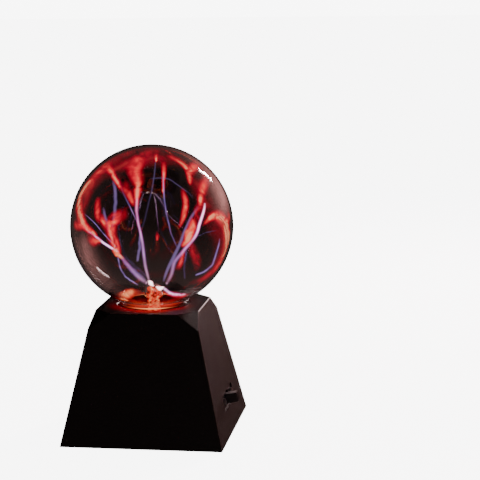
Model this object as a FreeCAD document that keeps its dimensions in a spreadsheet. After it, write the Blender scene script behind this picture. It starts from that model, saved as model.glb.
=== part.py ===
import FreeCAD, Part
import math
import os
import re
import sys

import Sketcher

# A three-inch plasma ball on a leaning, square, hollow base.
# Millimetres. The origin is the middle of the footprint, on the surface the feet stand on.
# +Z is up, the switch is on the +X side and the power inlet is on the +Y side.

SIZES = {
    # base shell
    "base_width": 75.5,
    "neck_margin": 7.85,
    "top_width": "=2 * (neck_radius + neck_margin)",
    "base_top": 61.0,
    "shell_wall": 2.2,
    "corner_cut": 8.9,
    "corner_drop": 7.4,
    "edge_round": 0.7,
    "hole_bevel": 0.4,
    # bottom cover, feet and the screws through the cover
    "foot_proud": 1.0,
    "foot_radius": 4.5,
    "foot_sunk": 0.8,
    "foot_round": 0.4,
    "foot_gap": 0.1,
    "cover_thickness": 2.5,
    "cover_gap": 0.2,
    "cover_boss_radius": 4.2,
    "cover_boss_rise": 1.5,
    "post_inset": 9.75,
    "post_offset": "=base_width / 2 - post_inset",
    "post_radius": 3.5,
    "post_top": 43.0,
    "vent_length": 22.0,
    "vent_width": 1.8,
    "vent_pitch": 4.6,
    "cover_screw_head": 2.4,
    "cover_screw_head_height": 1.3,
    "cover_screw_shank": 1.1,
    "cover_screw_length": 8.5,
    "head_gap": 0.3,
    "seat_spare": 0.2,
    "thread_gap": 0.05,
    "shank_gap": 0.3,
    "pilot_spare": 1.0,
    "boss_pilot_spare": 0.5,
    "board_pilot_spare": 0.3,
    "slot_share": 0.3,
    # small screws: globe socket, board and switch
    "small_screw_head": 1.9,
    "small_screw_head_height": 1.2,
    "small_screw_shank": 0.9,
    "socket_screw_length": 6.0,
    "board_screw_length": 5.0,
    "switch_screw_length": 3.6,
    # glass globe and its electrode
    "globe_radius": 38.1,
    "globe_centre": 97.7,
    "glass_wall": 1.2,
    "neck_radius": 16.4,
    "neck_low": 47.0,
    "stem_radius": 4.5,
    "stem_wall": 0.9,
    "stem_top": 70.5,
    "stem_disc": 1.4,
    "wool_gap": 0.4,
    "wool_low": 51.0,
    "lead_radius": 0.9,
    # what holds the globe in the base
    "neck_gap": 0.6,
    "gasket_flange": 3.4,
    "gasket_thickness": 1.5,
    "gasket_sunk": 0.4,
    "socket_gap": 0.3,
    "socket_wall": 1.6,
    "socket_margin": 4.4,
    "socket_width": "=2 * (boss_offset + socket_margin)",
    "socket_flange": 2.5,
    "boss_clear": 0.2,
    "boss_offset": "=neck_radius + boss_clear",
    "boss_radius": 2.6,
    "boss_length": 4.8,
    "cushion_thickness": 1.5,
    "socket_hole": 7.5,
    # circuit board
    "standoff_rise": 4.5,
    "standoff_radius": 2.6,
    "board_thickness": 1.6,
    "left_clear": 14.75,
    "right_clear": 16.75,
    "front_clear": 12.75,
    "back_clear": 6.75,
    "board_left": "=base_width / 2 - left_clear",
    "board_right": "=base_width / 2 - right_clear",
    "board_front": "=base_width / 2 - front_clear",
    "board_back": "=base_width / 2 - back_clear",
    "hole_inset": 3.0,
    "back_hole_inset": 7.0,
    "board_hole_left": "=board_left - hole_inset",
    "board_hole_right": "=board_right - hole_inset",
    "board_hole_front": "=board_front - hole_inset",
    "board_hole_back": "=board_back - back_hole_inset",
    # step-up transformer
    "core_back": 9.0,
    "core_width": 19.0,
    "core_depth": 5.0,
    "core_leg": 2.4,
    "centre_leg": 4.8,
    "window_height": 11.4,
    "core_lift": 0.6,
    "core_gap": 0.1,
    "bobbin_bore": 3.6,
    "bobbin_wall": 0.5,
    "bobbin_flange": 0.9,
    "bobbin_half": 7.5,
    "bobbin_gap": 0.2,
    "primary_build": 0.9,
    "secondary_build": 1.6,
    "winding_gap": 0.1,
    "lead_tab": 2.0,
    # transistor and its heatsink
    "sink_face": 17.0,
    "sink_centre": 3.0,
    "sink_width": 18.0,
    "sink_plate": 1.5,
    "sink_height": 20.0,
    "fin_length": 4.0,
    "fin_thickness": 1.0,
    "fin_pitch": 4.2,
    "fin_offset": 0.25,
    "package_width": 10.0,
    "package_depth": 4.5,
    "package_height": 9.0,
    "package_lift": 4.0,
    "tab_height": 15.4,
    "tab_thickness": 1.3,
    "package_leg": 0.8,
    "leg_offset": 0.8,
    "leg_pitch": 2.54,
    "sink_screw_head": 2.8,
    "sink_screw_head_height": 1.8,
    "sink_screw_shank": 1.5,
    "sink_screw_length": 5.0,
    "sink_screw_drop": 3.2,
    # small components on the board
    "can_radius": 4.0,
    "can_height": 11.5,
    "can_pitch": 10.0,
    "can_side": 9.0,
    "can_front": 17.5,
    "groove_reach": 0.25,
    "groove_radius": 0.5,
    "groove_lift": 1.6,
    "film_length": 9.0,
    "film_depth": 4.5,
    "film_height": 8.0,
    "film_front": 20.0,
    "film_side": 3.0,
    "axial_radius": 1.1,
    "axial_length": 6.0,
    "axial_span": 9.0,
    "axial_lift": 1.6,
    "axial_wire": 0.3,
    "axial_pitch": 3.4,
    "axial_side": 15.5,
    "axial_front": 18.0,
    "diode_radius": 1.32,
    "diode_side": 14.5,
    "diode_back": 16.0,
    # power inlet
    "inlet_width": 7.7,
    "inlet_height": 3.9,
    "inlet_inset": 3.75,
    "inlet_length": 9.2,
    "inlet_mouth": "=base_width / 2 - inlet_inset",
    "inlet_front": "=inlet_mouth - inlet_length",
    "inlet_metal": 0.3,
    "insert_depth": 2.0,
    "tongue_width": 5.2,
    "tongue_thickness": 0.9,
    "tongue_short": 0.8,
    "inlet_opening_width": 11.0,
    "inlet_opening_height": 7.0,
    # slide switch, measured along the leaning wall from the middle of its opening
    "switch_back": 2.4,
    "switch_height": 15.6,
    "recess_length": 25.5,
    "recess_height": 7.6,
    "recess_depth": 0.8,
    "knob_length": 5.0,
    "knob_height": 4.6,
    "knob_proud": 5.2,
    "knob_round": 0.5,
    "knob_groove": 0.35,
    "knob_lift": 0.3,
    "knob_travel": 4.0,
    "knob_gap": 0.4,
    "slider_stem": 3.0,
    "slider_stem_length": 2.1,
    "frame_thickness": 0.5,
    "frame_length": 24.4,
    "frame_height": 6.8,
    "case_length": 15.6,
    "case_depth": 5.0,
    "case_floor": 1.6,
    "case_wall": 1.0,
    "contact_length": 4.4,
    "contact_height": 3.0,
    "contact_depth": 1.2,
    "screw_spacing": 19.0,
    "terminal_pitch": 3.0,
    "terminal_width": 1.2,
    "terminal_thickness": 0.4,
    "terminal_length": 3.4,
    "wire_radius": 0.6,
    "wire_bend": 1.8,
    "wire_reach": 1.2,
}

# Expressions that several pieces share, in the sheet's names.
LEAN = "atan((base_width - top_width) / 2 / (base_top - foot_proud))"
COVER_LOW = "foot_proud"
COVER_TOP = "(foot_proud + cover_thickness)"
BOSS_TOP = "(foot_proud + cover_thickness + cover_boss_rise)"
HEAD_SEAT = "(foot_proud + foot_sunk + cover_screw_head_height + seat_spare)"
CEILING = "(base_top - shell_wall)"
SOCKET_TOP = "(base_top - shell_wall - boss_length)"
CUP_RADIUS = "(neck_radius + socket_gap)"
CUP_FLOOR = "(neck_low - cushion_thickness)"
BOARD_LOW = "(foot_proud + cover_thickness + standoff_rise)"
BOARD_TOP = "(foot_proud + cover_thickness + standoff_rise + board_thickness)"
YOKE_LOW = f"({BOARD_TOP} + core_lift)"
WINDOW_LOW = f"({YOKE_LOW} + core_leg)"
WINDOW_TOP = f"({YOKE_LOW} + core_leg + window_height)"
COIL_LOW = f"({WINDOW_LOW} + bobbin_gap + bobbin_flange)"
COIL_TOP = f"({WINDOW_TOP} - bobbin_gap - bobbin_flange)"
INLET_LOW = BOARD_TOP
INLET_MIDDLE = f"({BOARD_TOP} + inlet_height / 2)"
CORNERS = ((1, 1), (-1, 1), (-1, -1), (1, -1))
AXIS_TURNS = {
    "+Z": ((1, 0, 0), 0),
    "-Z": ((1, 0, 0), 180),
    "+X": ((0, 1, 0), 90),
    "-X": ((0, 1, 0), -90),
    "+Y": ((1, 0, 0), -90),
}

doc = FreeCAD.newDocument("plasma_ball")
sheet = doc.addObject("Spreadsheet::Sheet", "Sizes")
for row, alias in enumerate(SIZES, start=1):
    sheet.set(f"A{row}", alias.replace("_", " "))
    sheet.setAlias(f"B{row}", alias)
for alias, size in SIZES.items():
    sheet.set(alias, str(size))
doc.recompute()
nodes = {}


def linked(text):
    """The expression with each size's name turned into a reference to the sheet."""
    return re.sub(r"[a-z][a-z_]+", lambda m: f"Sizes.{m[0]}" if m[0] in SIZES else m[0], str(text))


def value(text):
    """What an expression comes to now, as a plain number."""
    result = sheet.evalExpression(linked(text))
    return float(getattr(result, "Value", result))


def place(item, at, direction="+Z"):
    """Binds an object's place to the sheet, with its own Z axis turned to a row direction."""
    axis, angle = AXIS_TURNS[direction]
    turn = FreeCAD.Rotation(FreeCAD.Vector(*axis), angle)
    item.Placement = FreeCAD.Placement(FreeCAD.Vector(), turn)
    for letter, text in zip("xyz", at):
        item.setExpression(f"Placement.Base.{letter}", linked(text))
    return item


def block(name, x, y, z):
    """A box between a low and a high expression on each axis."""
    item = doc.addObject("Part::Box", name)
    for side, (low, high) in zip(("Length", "Width", "Height"), (x, y, z)):
        item.setExpression(side, linked(f"({high}) - ({low})"))
    return place(item, (x[0], y[0], z[0]))


def centred(width):
    """The low and high expressions of a width centred on zero."""
    return f"-({width}) / 2", f"({width}) / 2"


def rod(name, radius, low, high, x="0", y="0"):
    """An upright cylinder between two heights."""
    item = doc.addObject("Part::Cylinder", name)
    item.setExpression("Radius", linked(radius))
    item.setExpression("Height", linked(f"({high}) - ({low})"))
    return place(item, (x, y, low))


def bar(name, radius, length, at, direction):
    """A cylinder of a length that starts at a point and runs in a row direction."""
    item = doc.addObject("Part::Cylinder", name)
    item.setExpression("Radius", linked(radius))
    item.setExpression("Height", linked(length))
    return place(item, at, direction)


def cut(name, base, *tools):
    item = doc.addObject("Part::Cut", name)
    item.Base = base
    item.Tool = tools[0] if len(tools) == 1 else fuse(f"{name}_tools", *tools)
    return item


def fuse(name, *pieces):
    item = doc.addObject("Part::MultiFuse", name)
    item.Shapes = list(pieces)
    return item


def ring(name, outer, inner, low, high, x="0", y="0"):
    """An upright tube."""
    outside = rod(f"{name}_outside", outer, low, high, x, y)
    bore = rod(f"{name}_bore", inner, f"{low} - 1", f"{high} + 1", x, y)
    return cut(name, outside, bore)


def group(name, pieces):
    """Separate solids that share a node."""
    item = doc.addObject("Part::Compound", name)
    item.Links = list(pieces)
    return item


def node(name, item):
    """Gives a finished sub-part its own label and lists it for export."""
    item.Label = name
    nodes[name] = item
    return item


def half_width(height, inset="0"):
    """Half the base's outside width at a height, less an inset square to the leaning wall."""
    return f"(base_width / 2 - ({height} - foot_proud) * tan({LEAN}) - ({inset}) / cos({LEAN}))"


def corner_reach(height, inset="0"):
    """How far the cut corner's plane is from the axis at a height, along the diagonal."""
    top = "((top_width - corner_cut) / sqrt(2))"
    low = f"(sqrt(2) * {half_width('(base_top - corner_drop)')})"
    slope = f"(({low} - {top}) / corner_drop)"
    return f"({top} + (base_top - ({height})) * {slope} - ({inset}) / cos(atan({slope})))"


def frustum(name, reach, low, high, quarter_turn):
    """A square block that narrows upwards. reach gives its half width at a height."""
    item = doc.addObject("Part::Wedge", name)
    upright = FreeCAD.Rotation(FreeCAD.Vector(1, 0, 0), 90)
    turn = FreeCAD.Rotation(FreeCAD.Vector(0, 0, 1), 45 if quarter_turn else 0)
    item.Placement = FreeCAD.Placement(FreeCAD.Vector(), turn.multiply(upright))
    item.setExpression("Ymin", linked(low))
    item.setExpression("Ymax", linked(high))
    for prefix, height in (("", low), ("2", high)):
        for letter in "XZ":
            item.setExpression(f"{letter}{prefix}min", linked(f"-{reach(height)}"))
            item.setExpression(f"{letter}{prefix}max", linked(reach(height)))
    return item


def base_form(name, inset, low, high):
    """The base's leaning sides and four cut corners, inset by a wall."""
    item = doc.addObject("Part::MultiCommon", name)
    sides = frustum(f"{name}_sides", lambda z: half_width(z, inset), low, high, False)
    corners = frustum(f"{name}_corners", lambda z: corner_reach(z, inset), low, high, True)
    item.Shapes = [sides, corners]
    return item


def on_switch_wall(item):
    """Puts an object drawn with +X out of the wall, +Y along it and +Z up it in its place."""
    item.Placement = FreeCAD.Placement(
        FreeCAD.Vector(),
        FreeCAD.Rotation(FreeCAD.Vector(0, -1, 0), value(LEAN)),
    )
    item.setExpression("Placement.Rotation.Angle", linked(LEAN))
    item.setExpression("Placement.Base.x", linked(half_width("switch_height")))
    item.setExpression("Placement.Base.y", linked("switch_back"))
    item.setExpression("Placement.Base.z", linked("switch_height"))
    return item


def outline(body, name, plane, points, domes=()):
    """A closed sketch whose corners are bound to the sheet.

    Each edge runs from one point to the next. The edges numbered in domes are arcs
    centred on the sketch's vertical axis, which pass over or under their centre.
    """
    sketch = body.newObject("Sketcher::SketchObject", name)
    support = next(o for o in body.Origin.OriginFeatures if o.Role == plane)
    sketch.AttachmentSupport = [(support, "")]
    sketch.MapMode = "FlatFace"
    corners = [FreeCAD.Vector(value(x), value(y), 0) for x, y in points]
    starts = []
    for number, (first, last) in enumerate(zip(corners, corners[1:] + corners[:1])):
        if number in domes:
            rise = (last.x**2 + last.y**2 - first.x**2 - first.y**2) / 2 / (last.y - first.y)
            centre = FreeCAD.Vector(0, rise, 0)
            begin, end = ((p - centre) for p in (first, last))
            angles = sorted((math.atan2(begin.y, begin.x), math.atan2(end.y, end.x)))
            circle = Part.Circle(centre, FreeCAD.Vector(0, 0, 1), begin.Length)
            sketch.addGeometry(Part.ArcOfCircle(circle, *angles))
            sketch.addConstraint(Sketcher.Constraint("PointOnObject", number, 3, -2))
            anticlockwise = math.atan2(begin.y, begin.x) == angles[0]
            starts.append((1, 2) if anticlockwise else (2, 1))
        else:
            sketch.addGeometry(Part.LineSegment(first, last))
            starts.append((1, 2))
    count = len(points)
    for number in range(count):
        following = (number + 1) % count
        ends = (number, starts[number][1], following, starts[following][0])
        sketch.addConstraint(Sketcher.Constraint("Coincident", *ends))
    for number, pair in enumerate(points):
        for kind, text, axis, now in zip(
            ("DistanceX", "DistanceY"), pair, (-2, -1), (corners[number].x, corners[number].y)
        ):
            end = starts[number][0]
            if text == "0":
                sketch.addConstraint(Sketcher.Constraint("PointOnObject", number, end, axis))
                continue
            index = sketch.addConstraint(Sketcher.Constraint(kind, -1, 1, number, end, now))
            sketch.setExpression(f"Constraints[{index}]", linked(text))
    return sketch


def revolved(name, points, domes=()):
    """A body turned round the Z axis from a section of radius and height."""
    body = doc.addObject("PartDesign::Body", name)
    section = outline(body, f"{name}_section", "XZ_Plane", points, domes)
    turned = body.newObject("PartDesign::Revolution", f"{name}_turned")
    turned.Profile = section
    turned.ReferenceAxis = (section, ["V_Axis"])
    turned.Angle = 360
    doc.recompute()
    return body


def padded(name, plane, points, length):
    """A body raised from a flat outline."""
    body = doc.addObject("PartDesign::Body", name)
    section = outline(body, f"{name}_outline", plane, points)
    pad = body.newObject("PartDesign::Pad", f"{name}_pad")
    pad.Profile = section
    pad.setExpression("Length", linked(length))
    doc.recompute()
    return body


def round_edges(body, name, radius, wanted):
    """Rounds the edges of a body for which wanted(edge) is true."""
    before = body.Tip
    edges = before.Shape.Edges
    names = [f"Edge{number}" for number, edge in enumerate(edges, start=1) if wanted(edge)]
    fillet = body.newObject("PartDesign::Fillet", name)
    fillet.Base = (before, names)
    fillet.setExpression("Radius", linked(radius))
    doc.recompute()
    return fillet


def screw(name, kind, length, at, direction):
    """A pan-head screw with a cross recess. Its head sits on the point and it drives onwards."""
    head = rod(f"{name}_head", f"{kind}_head", f"-{kind}_head_height", "0")
    shank = rod(f"{name}_shank", f"{kind}_shank", "0", length)
    depth = (f"-{kind}_head_height - 1", f"-{kind}_head_height * 0.4")
    long_slot = centred(f"{kind}_head * 1.1")
    thin_slot = centred(f"{kind}_head * slot_share")
    first = block(f"{name}_slot", long_slot, thin_slot, depth)
    second = block(f"{name}_cross_slot", thin_slot, long_slot, depth)
    whole = fuse(f"{name}_blank", head, shank)
    return place(cut(name, whole, first, second), at, direction)


def switch_cutter():
    """The recess, slot and two screw holes that the switch needs in the wall."""
    deep = "-shell_wall * 3"
    recess = block(
        "switch_recess", ("-recess_depth", "5"), centred("recess_length"), centred("recess_height")
    )
    slot_length = "knob_length + knob_travel + 2 * knob_gap"
    slot = block(
        "switch_slot", (deep, "5"), centred(slot_length), centred("knob_height + 2 * knob_gap")
    )
    holes = [
        bar(
            f"switch_hole_{side}",
            "small_screw_shank + shank_gap",
            "shell_wall * 3",
            ("0", f"{side} * screw_spacing / 2", "0"),
            "-X",
        )
        for side in (-1, 1)
    ]
    return on_switch_wall(fuse("switch_cutter", recess, slot, *holes))


def base_shell():
    """The one-piece outer shell: leaning sides, cut corners, a hole for the globe's neck."""
    outside = base_form("shell_outside", "0", "foot_proud", "base_top")
    doc.recompute()
    rounded = doc.addObject("Part::Fillet", "shell_rounded")
    rounded.Base = outside
    radius = value("edge_round")
    floor = value("foot_proud")
    rounded.Edges = [
        (number, radius, radius)
        for number, edge in enumerate(outside.Shape.Edges, start=1)
        if edge.CenterOfMass.z > floor + 0.01
    ]
    inside = base_form("shell_inside", "shell_wall", "foot_proud - 1", CEILING)
    kept = []
    pilots = []
    for x, y in CORNERS:
        post_at = (f"{x} * post_offset", f"{y} * post_offset")
        kept.append(rod("post", "post_radius", BOSS_TOP, "post_top", *post_at))
        post_pilot_top = f"{HEAD_SEAT} + cover_screw_length + pilot_spare"
        post_pilot = "cover_screw_shank + thread_gap"
        pilots.append(rod("post_pilot", post_pilot, f"{BOSS_TOP} - 1", post_pilot_top, *post_at))
        boss_at = (f"{x} * boss_offset", f"{y} * boss_offset")
        kept.append(rod("boss", "boss_radius", SOCKET_TOP, f"{CEILING} + 0.5", *boss_at))
        boss_pilot_top = f"{SOCKET_TOP} - socket_flange + socket_screw_length + boss_pilot_spare"
        boss_pilot = "small_screw_shank + thread_gap"
        pilots.append(rod("boss_pilot", boss_pilot, f"{SOCKET_TOP} - 1", boss_pilot_top, *boss_at))
    cavity = cut("shell_cavity", inside, *kept)
    neck_hole = rod("neck_hole", "neck_radius + neck_gap", f"{CEILING} - 1", "base_top + 1")
    bevel = doc.addObject("Part::Cone", "neck_bevel")
    bevel.setExpression("Radius1", linked("neck_radius + neck_gap"))
    bevel.setExpression("Radius2", linked("neck_radius + neck_gap + 2 * hole_bevel"))
    bevel.setExpression("Height", linked("2 * hole_bevel"))
    place(bevel, ("0", "0", "base_top - hole_bevel"))
    inlet = block(
        "inlet_opening",
        centred("inlet_opening_width"),
        ("inlet_mouth - shell_wall * 2", "base_width"),
        (
            f"{INLET_MIDDLE} - inlet_opening_height / 2",
            f"{INLET_MIDDLE} + inlet_opening_height / 2",
        ),
    )
    return cut("shell", rounded, cavity, neck_hole, bevel, inlet, switch_cutter(), *pilots)


def board_holes():
    """Where the four board screws go, as pairs of expressions."""
    return [
        (x, y)
        for x in ("-board_hole_left", "board_hole_right")
        for y in ("-board_hole_front", "board_hole_back")
    ]


def bottom_cover():
    """The flat cover that closes the base, with screw bosses, standoffs, foot seats and vents."""
    inset = "shell_wall + cover_gap"
    plate = frustum("cover_plate", lambda z: half_width(z, inset), COVER_LOW, COVER_TOP, False)
    added = []
    removed = []
    for x, y in CORNERS:
        at = (f"{x} * post_offset", f"{y} * post_offset")
        seat = "foot_proud + foot_sunk"
        added.append(rod("cover_boss", "cover_boss_radius", COVER_TOP, BOSS_TOP, *at))
        removed.append(rod("foot_seat", "foot_radius + foot_gap", "foot_proud - 1", seat, *at))
        removed.append(
            rod("head_seat", "cover_screw_head + head_gap", "foot_proud - 1", HEAD_SEAT, *at)
        )
        removed.append(
            rod("screw_way", "cover_screw_shank + shank_gap", "0", f"{BOSS_TOP} + 1", *at)
        )
    for at in board_holes():
        added.append(rod("standoff", "standoff_radius", COVER_TOP, BOARD_LOW, *at))
        pilot_low = f"{BOARD_TOP} - board_screw_length - board_pilot_spare"
        pilot = "small_screw_shank + thread_gap"
        removed.append(rod("standoff_pilot", pilot, pilot_low, f"{BOARD_LOW} + 1", *at))
    for step in range(-2, 3):
        line = f"{step} * vent_pitch"
        along = (f"{line} - vent_width / 2", f"{line} + vent_width / 2")
        removed.append(block("vent", centred("vent_length"), along, ("0", f"{COVER_TOP} + 1")))
    return cut("cover", fuse("cover_blank", plate, *added), *removed)


def rubber_foot(number, x, y):
    """A turned rubber button pressed into its seat in the cover."""
    body = revolved(
        f"foot_{number}",
        [
            ("0", "0"),
            ("foot_radius", "0"),
            ("foot_radius", "foot_proud + foot_sunk"),
            ("0", "foot_proud + foot_sunk"),
        ],
    )
    round_edges(body, f"foot_{number}_rim", "foot_round", lambda edge: edge.BoundBox.ZMax < 0.01)
    return place(body, (f"{x} * post_offset", f"{y} * post_offset", "0"))


def glass_globe():
    """The blown globe and its short neck, one wall thick."""
    outer = "sqrt(globe_radius ^ 2 - neck_radius ^ 2)"
    bore = "(neck_radius - glass_wall)"
    inner = f"sqrt((globe_radius - glass_wall) ^ 2 - {bore} ^ 2)"
    points = [
        ("0", "globe_centre + globe_radius"),
        ("neck_radius", f"globe_centre - {outer}"),
        ("neck_radius", "neck_low"),
        (bore, "neck_low"),
        (bore, f"globe_centre - {inner}"),
        ("0", "globe_centre + globe_radius - glass_wall"),
    ]
    return revolved("globe", points, domes=(0, 4))


def electrode_stem():
    """The inner glass tube with a round end, on the disc that seals the neck."""
    bore = "(stem_radius - stem_wall)"
    disc_top = "neck_low + stem_disc"
    points = [
        ("0", "stem_top"),
        ("stem_radius", "stem_top - stem_radius"),
        ("stem_radius", disc_top),
        ("neck_radius - glass_wall", disc_top),
        ("neck_radius - glass_wall", "neck_low"),
        (bore, "neck_low"),
        (bore, "stem_top - stem_radius"),
        ("0", "stem_top - stem_wall"),
    ]
    return revolved("stem", points, domes=(0, 6))


def electrode_wool():
    """The metal wool packed into the end of the stem, as its outer form."""
    radius = "stem_radius - stem_wall - wool_gap"
    centre = "(stem_top - stem_radius)"
    cap = doc.addObject("Part::Sphere", "wool_cap")
    cap.setExpression("Radius", linked(radius))
    place(cap, ("0", "0", centre))
    return fuse("wool", rod("wool_plug", radius, "wool_low", centre), cap)


def globe_gasket():
    """A soft collar between the neck and the shell, with a flange under the ceiling."""
    collar = rod("collar", "neck_radius + neck_gap", CEILING, "base_top - gasket_sunk")
    flange = rod(
        "collar_flange", "neck_radius + gasket_flange", f"{CEILING} - gasket_thickness", CEILING
    )
    bore = rod("collar_bore", "neck_radius", "neck_low", "base_top + 1")
    return cut("gasket", fuse("gasket_blank", collar, flange), bore)


def globe_socket():
    """The cup that carries the neck, with a square flange screwed up to the ceiling's bosses."""
    outer = f"{CUP_RADIUS} + socket_wall"
    cup = rod("cup_outside", outer, f"{CUP_FLOOR} - socket_wall", SOCKET_TOP)
    flange = block(
        "cup_flange",
        centred("socket_width"),
        centred("socket_width"),
        (f"{SOCKET_TOP} - socket_flange", SOCKET_TOP),
    )
    bore = rod("cup_bore", CUP_RADIUS, CUP_FLOOR, f"{SOCKET_TOP} + 1")
    way = rod("cup_way", "socket_hole", f"{CUP_FLOOR} - socket_wall - 1", f"{CUP_FLOOR} + 1")
    holes = [
        rod(
            "flange_hole",
            "small_screw_shank + shank_gap",
            f"{SOCKET_TOP} - socket_flange - 1",
            f"{SOCKET_TOP} + 1",
            f"{x} * boss_offset",
            f"{y} * boss_offset",
        )
        for x, y in CORNERS
    ]
    return cut("socket", fuse("socket_blank", cup, flange), bore, way, *holes)


def circuit_board():
    """The board, raised from its outline, with four holes for its screws."""
    points = [
        ("-board_left", "-board_front"),
        ("board_right", "-board_front"),
        ("board_right", "board_back"),
        ("-board_left", "board_back"),
    ]
    body = padded("board", "XY_Plane", points, "board_thickness")
    support = next(o for o in body.Origin.OriginFeatures if o.Role == "XY_Plane")
    sketch = body.newObject("Sketcher::SketchObject", "board_screw_holes")
    sketch.AttachmentSupport = [(support, "")]
    sketch.MapMode = "FlatFace"
    radius = "small_screw_shank + shank_gap"
    for number, (x, y) in enumerate(board_holes()):
        centre = FreeCAD.Vector(value(x), value(y), 0)
        circle = Part.Circle(centre, FreeCAD.Vector(0, 0, 1), value(radius))
        sketch.addGeometry(circle)
        for kind, text, now in (
            ("Radius", radius, circle.Radius),
            ("DistanceX", x, centre.x),
            ("DistanceY", y, centre.y),
        ):
            ends = (number, now) if kind == "Radius" else (-1, 1, number, 3, now)
            index = sketch.addConstraint(Sketcher.Constraint(kind, *ends))
            sketch.setExpression(f"Constraints[{index}]", linked(text))
    pocket = body.newObject("PartDesign::Pocket", "board_drilled")
    pocket.Profile = sketch
    pocket.Type = "ThroughAll"
    pocket.Reversed = True
    return place(body, ("0", "0", BOARD_LOW))


def transformer_core():
    """Two E-shaped ferrite halves that meet across a small gap."""
    middle = f"(({WINDOW_LOW} + {WINDOW_TOP}) / 2)"
    depth = ("core_back - core_depth / 2", "core_back + core_depth / 2")
    halves = []
    lower_legs = (WINDOW_LOW, f"{middle} - core_gap / 2")
    upper_legs = (f"{middle} + core_gap / 2", WINDOW_TOP)
    for name, yoke, legs in (
        ("lower", (YOKE_LOW, WINDOW_LOW), lower_legs),
        ("upper", (WINDOW_TOP, f"{WINDOW_TOP} + core_leg"), upper_legs),
    ):
        half = [block(f"{name}_yoke", centred("core_width"), depth, yoke)]
        half.append(block(f"{name}_centre_leg", centred("centre_leg"), depth, legs))
        half.append(
            block(f"{name}_leg", ("-core_width / 2", "-core_width / 2 + core_leg"), depth, legs)
        )
        half.append(
            block(f"{name}_leg", ("core_width / 2 - core_leg", "core_width / 2"), depth, legs)
        )
        halves.append(fuse(f"{name}_half", *half))
    return group("core", halves)


def transformer_bobbin():
    """The moulded former: a tube, two flanges, two feet on the board and the output tab."""
    window = "(core_width / 2 - core_leg - bobbin_gap)"
    along = (f"-{window}", window)
    deep = ("core_back - bobbin_half", "core_back + bobbin_half")
    at = ("0", "core_back")
    low = f"({WINDOW_LOW} + bobbin_gap)"
    top = f"({WINDOW_TOP} - bobbin_gap)"
    tab = ("-lead_tab", "core_back - bobbin_half")
    pieces = [
        rod("former_tube", "bobbin_bore + bobbin_wall", low, top, *at),
        block("former_flange", along, deep, (low, COIL_LOW)),
        block("former_flange", along, deep, (COIL_TOP, top)),
        block("former_tab", centred("2 * lead_tab"), tab, (COIL_TOP, top)),
    ]
    for near, far in (
        ("core_back - bobbin_half", "core_back - core_depth / 2 - bobbin_gap"),
        ("core_back + core_depth / 2 + bobbin_gap", "core_back + bobbin_half"),
    ):
        pieces.append(block("former_foot", along, (near, far), (BOARD_TOP, low)))
    bore = rod("former_bore", "bobbin_bore", f"{low} - 1", f"{top} + 1", *at)
    return cut("bobbin", fuse("bobbin_blank", *pieces), bore)


def windings():
    """The primary on the former's tube, and the secondary over it."""
    inner = "(bobbin_bore + bobbin_wall)"
    between = f"({inner} + primary_build)"
    outer = f"({between} + winding_gap + secondary_build)"
    at = ("0", "core_back")
    primary = ring("primary", between, inner, COIL_LOW, COIL_TOP, *at)
    secondary = ring("secondary", outer, f"({between} + winding_gap)", COIL_LOW, COIL_TOP, *at)
    return primary, secondary


def heatsink():
    """A finned aluminium plate that stands on the board behind the transistor."""
    across = ("-sink_centre - sink_width / 2", "-sink_centre + sink_width / 2")
    upright = (BOARD_TOP, f"{BOARD_TOP} + sink_height")
    plate = block("sink_plate", ("-sink_face - sink_plate", "-sink_face"), across, upright)
    fins = []
    for side in (-1, 1):
        for step in (1, 2):
            line = f"-sink_centre + {side} * ({step} - fin_offset) * fin_pitch"
            fins.append(
                block(
                    "fin",
                    ("-sink_face - sink_plate - fin_length", "-sink_face - sink_plate"),
                    (f"{line} - fin_thickness / 2", f"{line} + fin_thickness / 2"),
                    upright,
                )
            )
    hole = bar(
        "sink_hole",
        "sink_screw_shank + thread_gap",
        "sink_plate + 2",
        ("-sink_face + 1", "-sink_centre", sink_screw_height()),
        "-X",
    )
    return cut("sink", fuse("sink_blank", plate, *fins), hole)


def sink_screw_height():
    return f"({BOARD_TOP} + package_lift + tab_height - sink_screw_drop)"


def power_transistor():
    """The moulded package, its metal tab against the heatsink, and three legs."""
    low = f"{BOARD_TOP} + package_lift"
    across = ("-sink_centre - package_width / 2", "-sink_centre + package_width / 2")
    tab_face = "-sink_face + tab_thickness"
    tab = block("tab", ("-sink_face", tab_face), across, (low, f"{low} + tab_height"))
    moulding = block(
        "moulding",
        (tab_face, "-sink_face + package_depth"),
        across,
        (low, f"{low} + package_height"),
    )
    legs = [
        block(
            "leg",
            (f"{tab_face} + leg_offset", f"{tab_face} + leg_offset + package_leg / 2"),
            (
                f"-sink_centre + {step} * leg_pitch - package_leg / 2",
                f"-sink_centre + {step} * leg_pitch + package_leg / 2",
            ),
            (BOARD_TOP, low),
        )
        for step in (-1, 0, 1)
    ]
    way = bar(
        "tab_hole",
        "sink_screw_shank + shank_gap",
        "tab_thickness + 2",
        ("-sink_face + tab_thickness + 1", "-sink_centre", sink_screw_height()),
        "-X",
    )
    return cut("transistor", fuse("transistor_blank", tab, moulding, *legs), way)


def electrolytic_capacitors():
    """Two aluminium cans with a rolled groove near the board."""
    cans = []
    for step in (0, 1):
        at = ("can_side", f"-can_front + {step} * can_pitch")
        can = rod("can", "can_radius", BOARD_TOP, f"{BOARD_TOP} + can_height", *at)
        groove = doc.addObject("Part::Torus", "can_groove")
        groove.setExpression("Radius1", linked("can_radius + groove_reach"))
        groove.setExpression("Radius2", linked("groove_radius"))
        place(groove, (*at, f"{BOARD_TOP} + groove_lift"))
        cans.append(cut("grooved_can", can, groove))
    return group("cans", cans)


def film_capacitor():
    return block(
        "film",
        ("-film_side - film_length / 2", "-film_side + film_length / 2"),
        ("-film_front - film_depth / 2", "-film_front + film_depth / 2"),
        (BOARD_TOP, f"{BOARD_TOP} + film_height"),
    )


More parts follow.
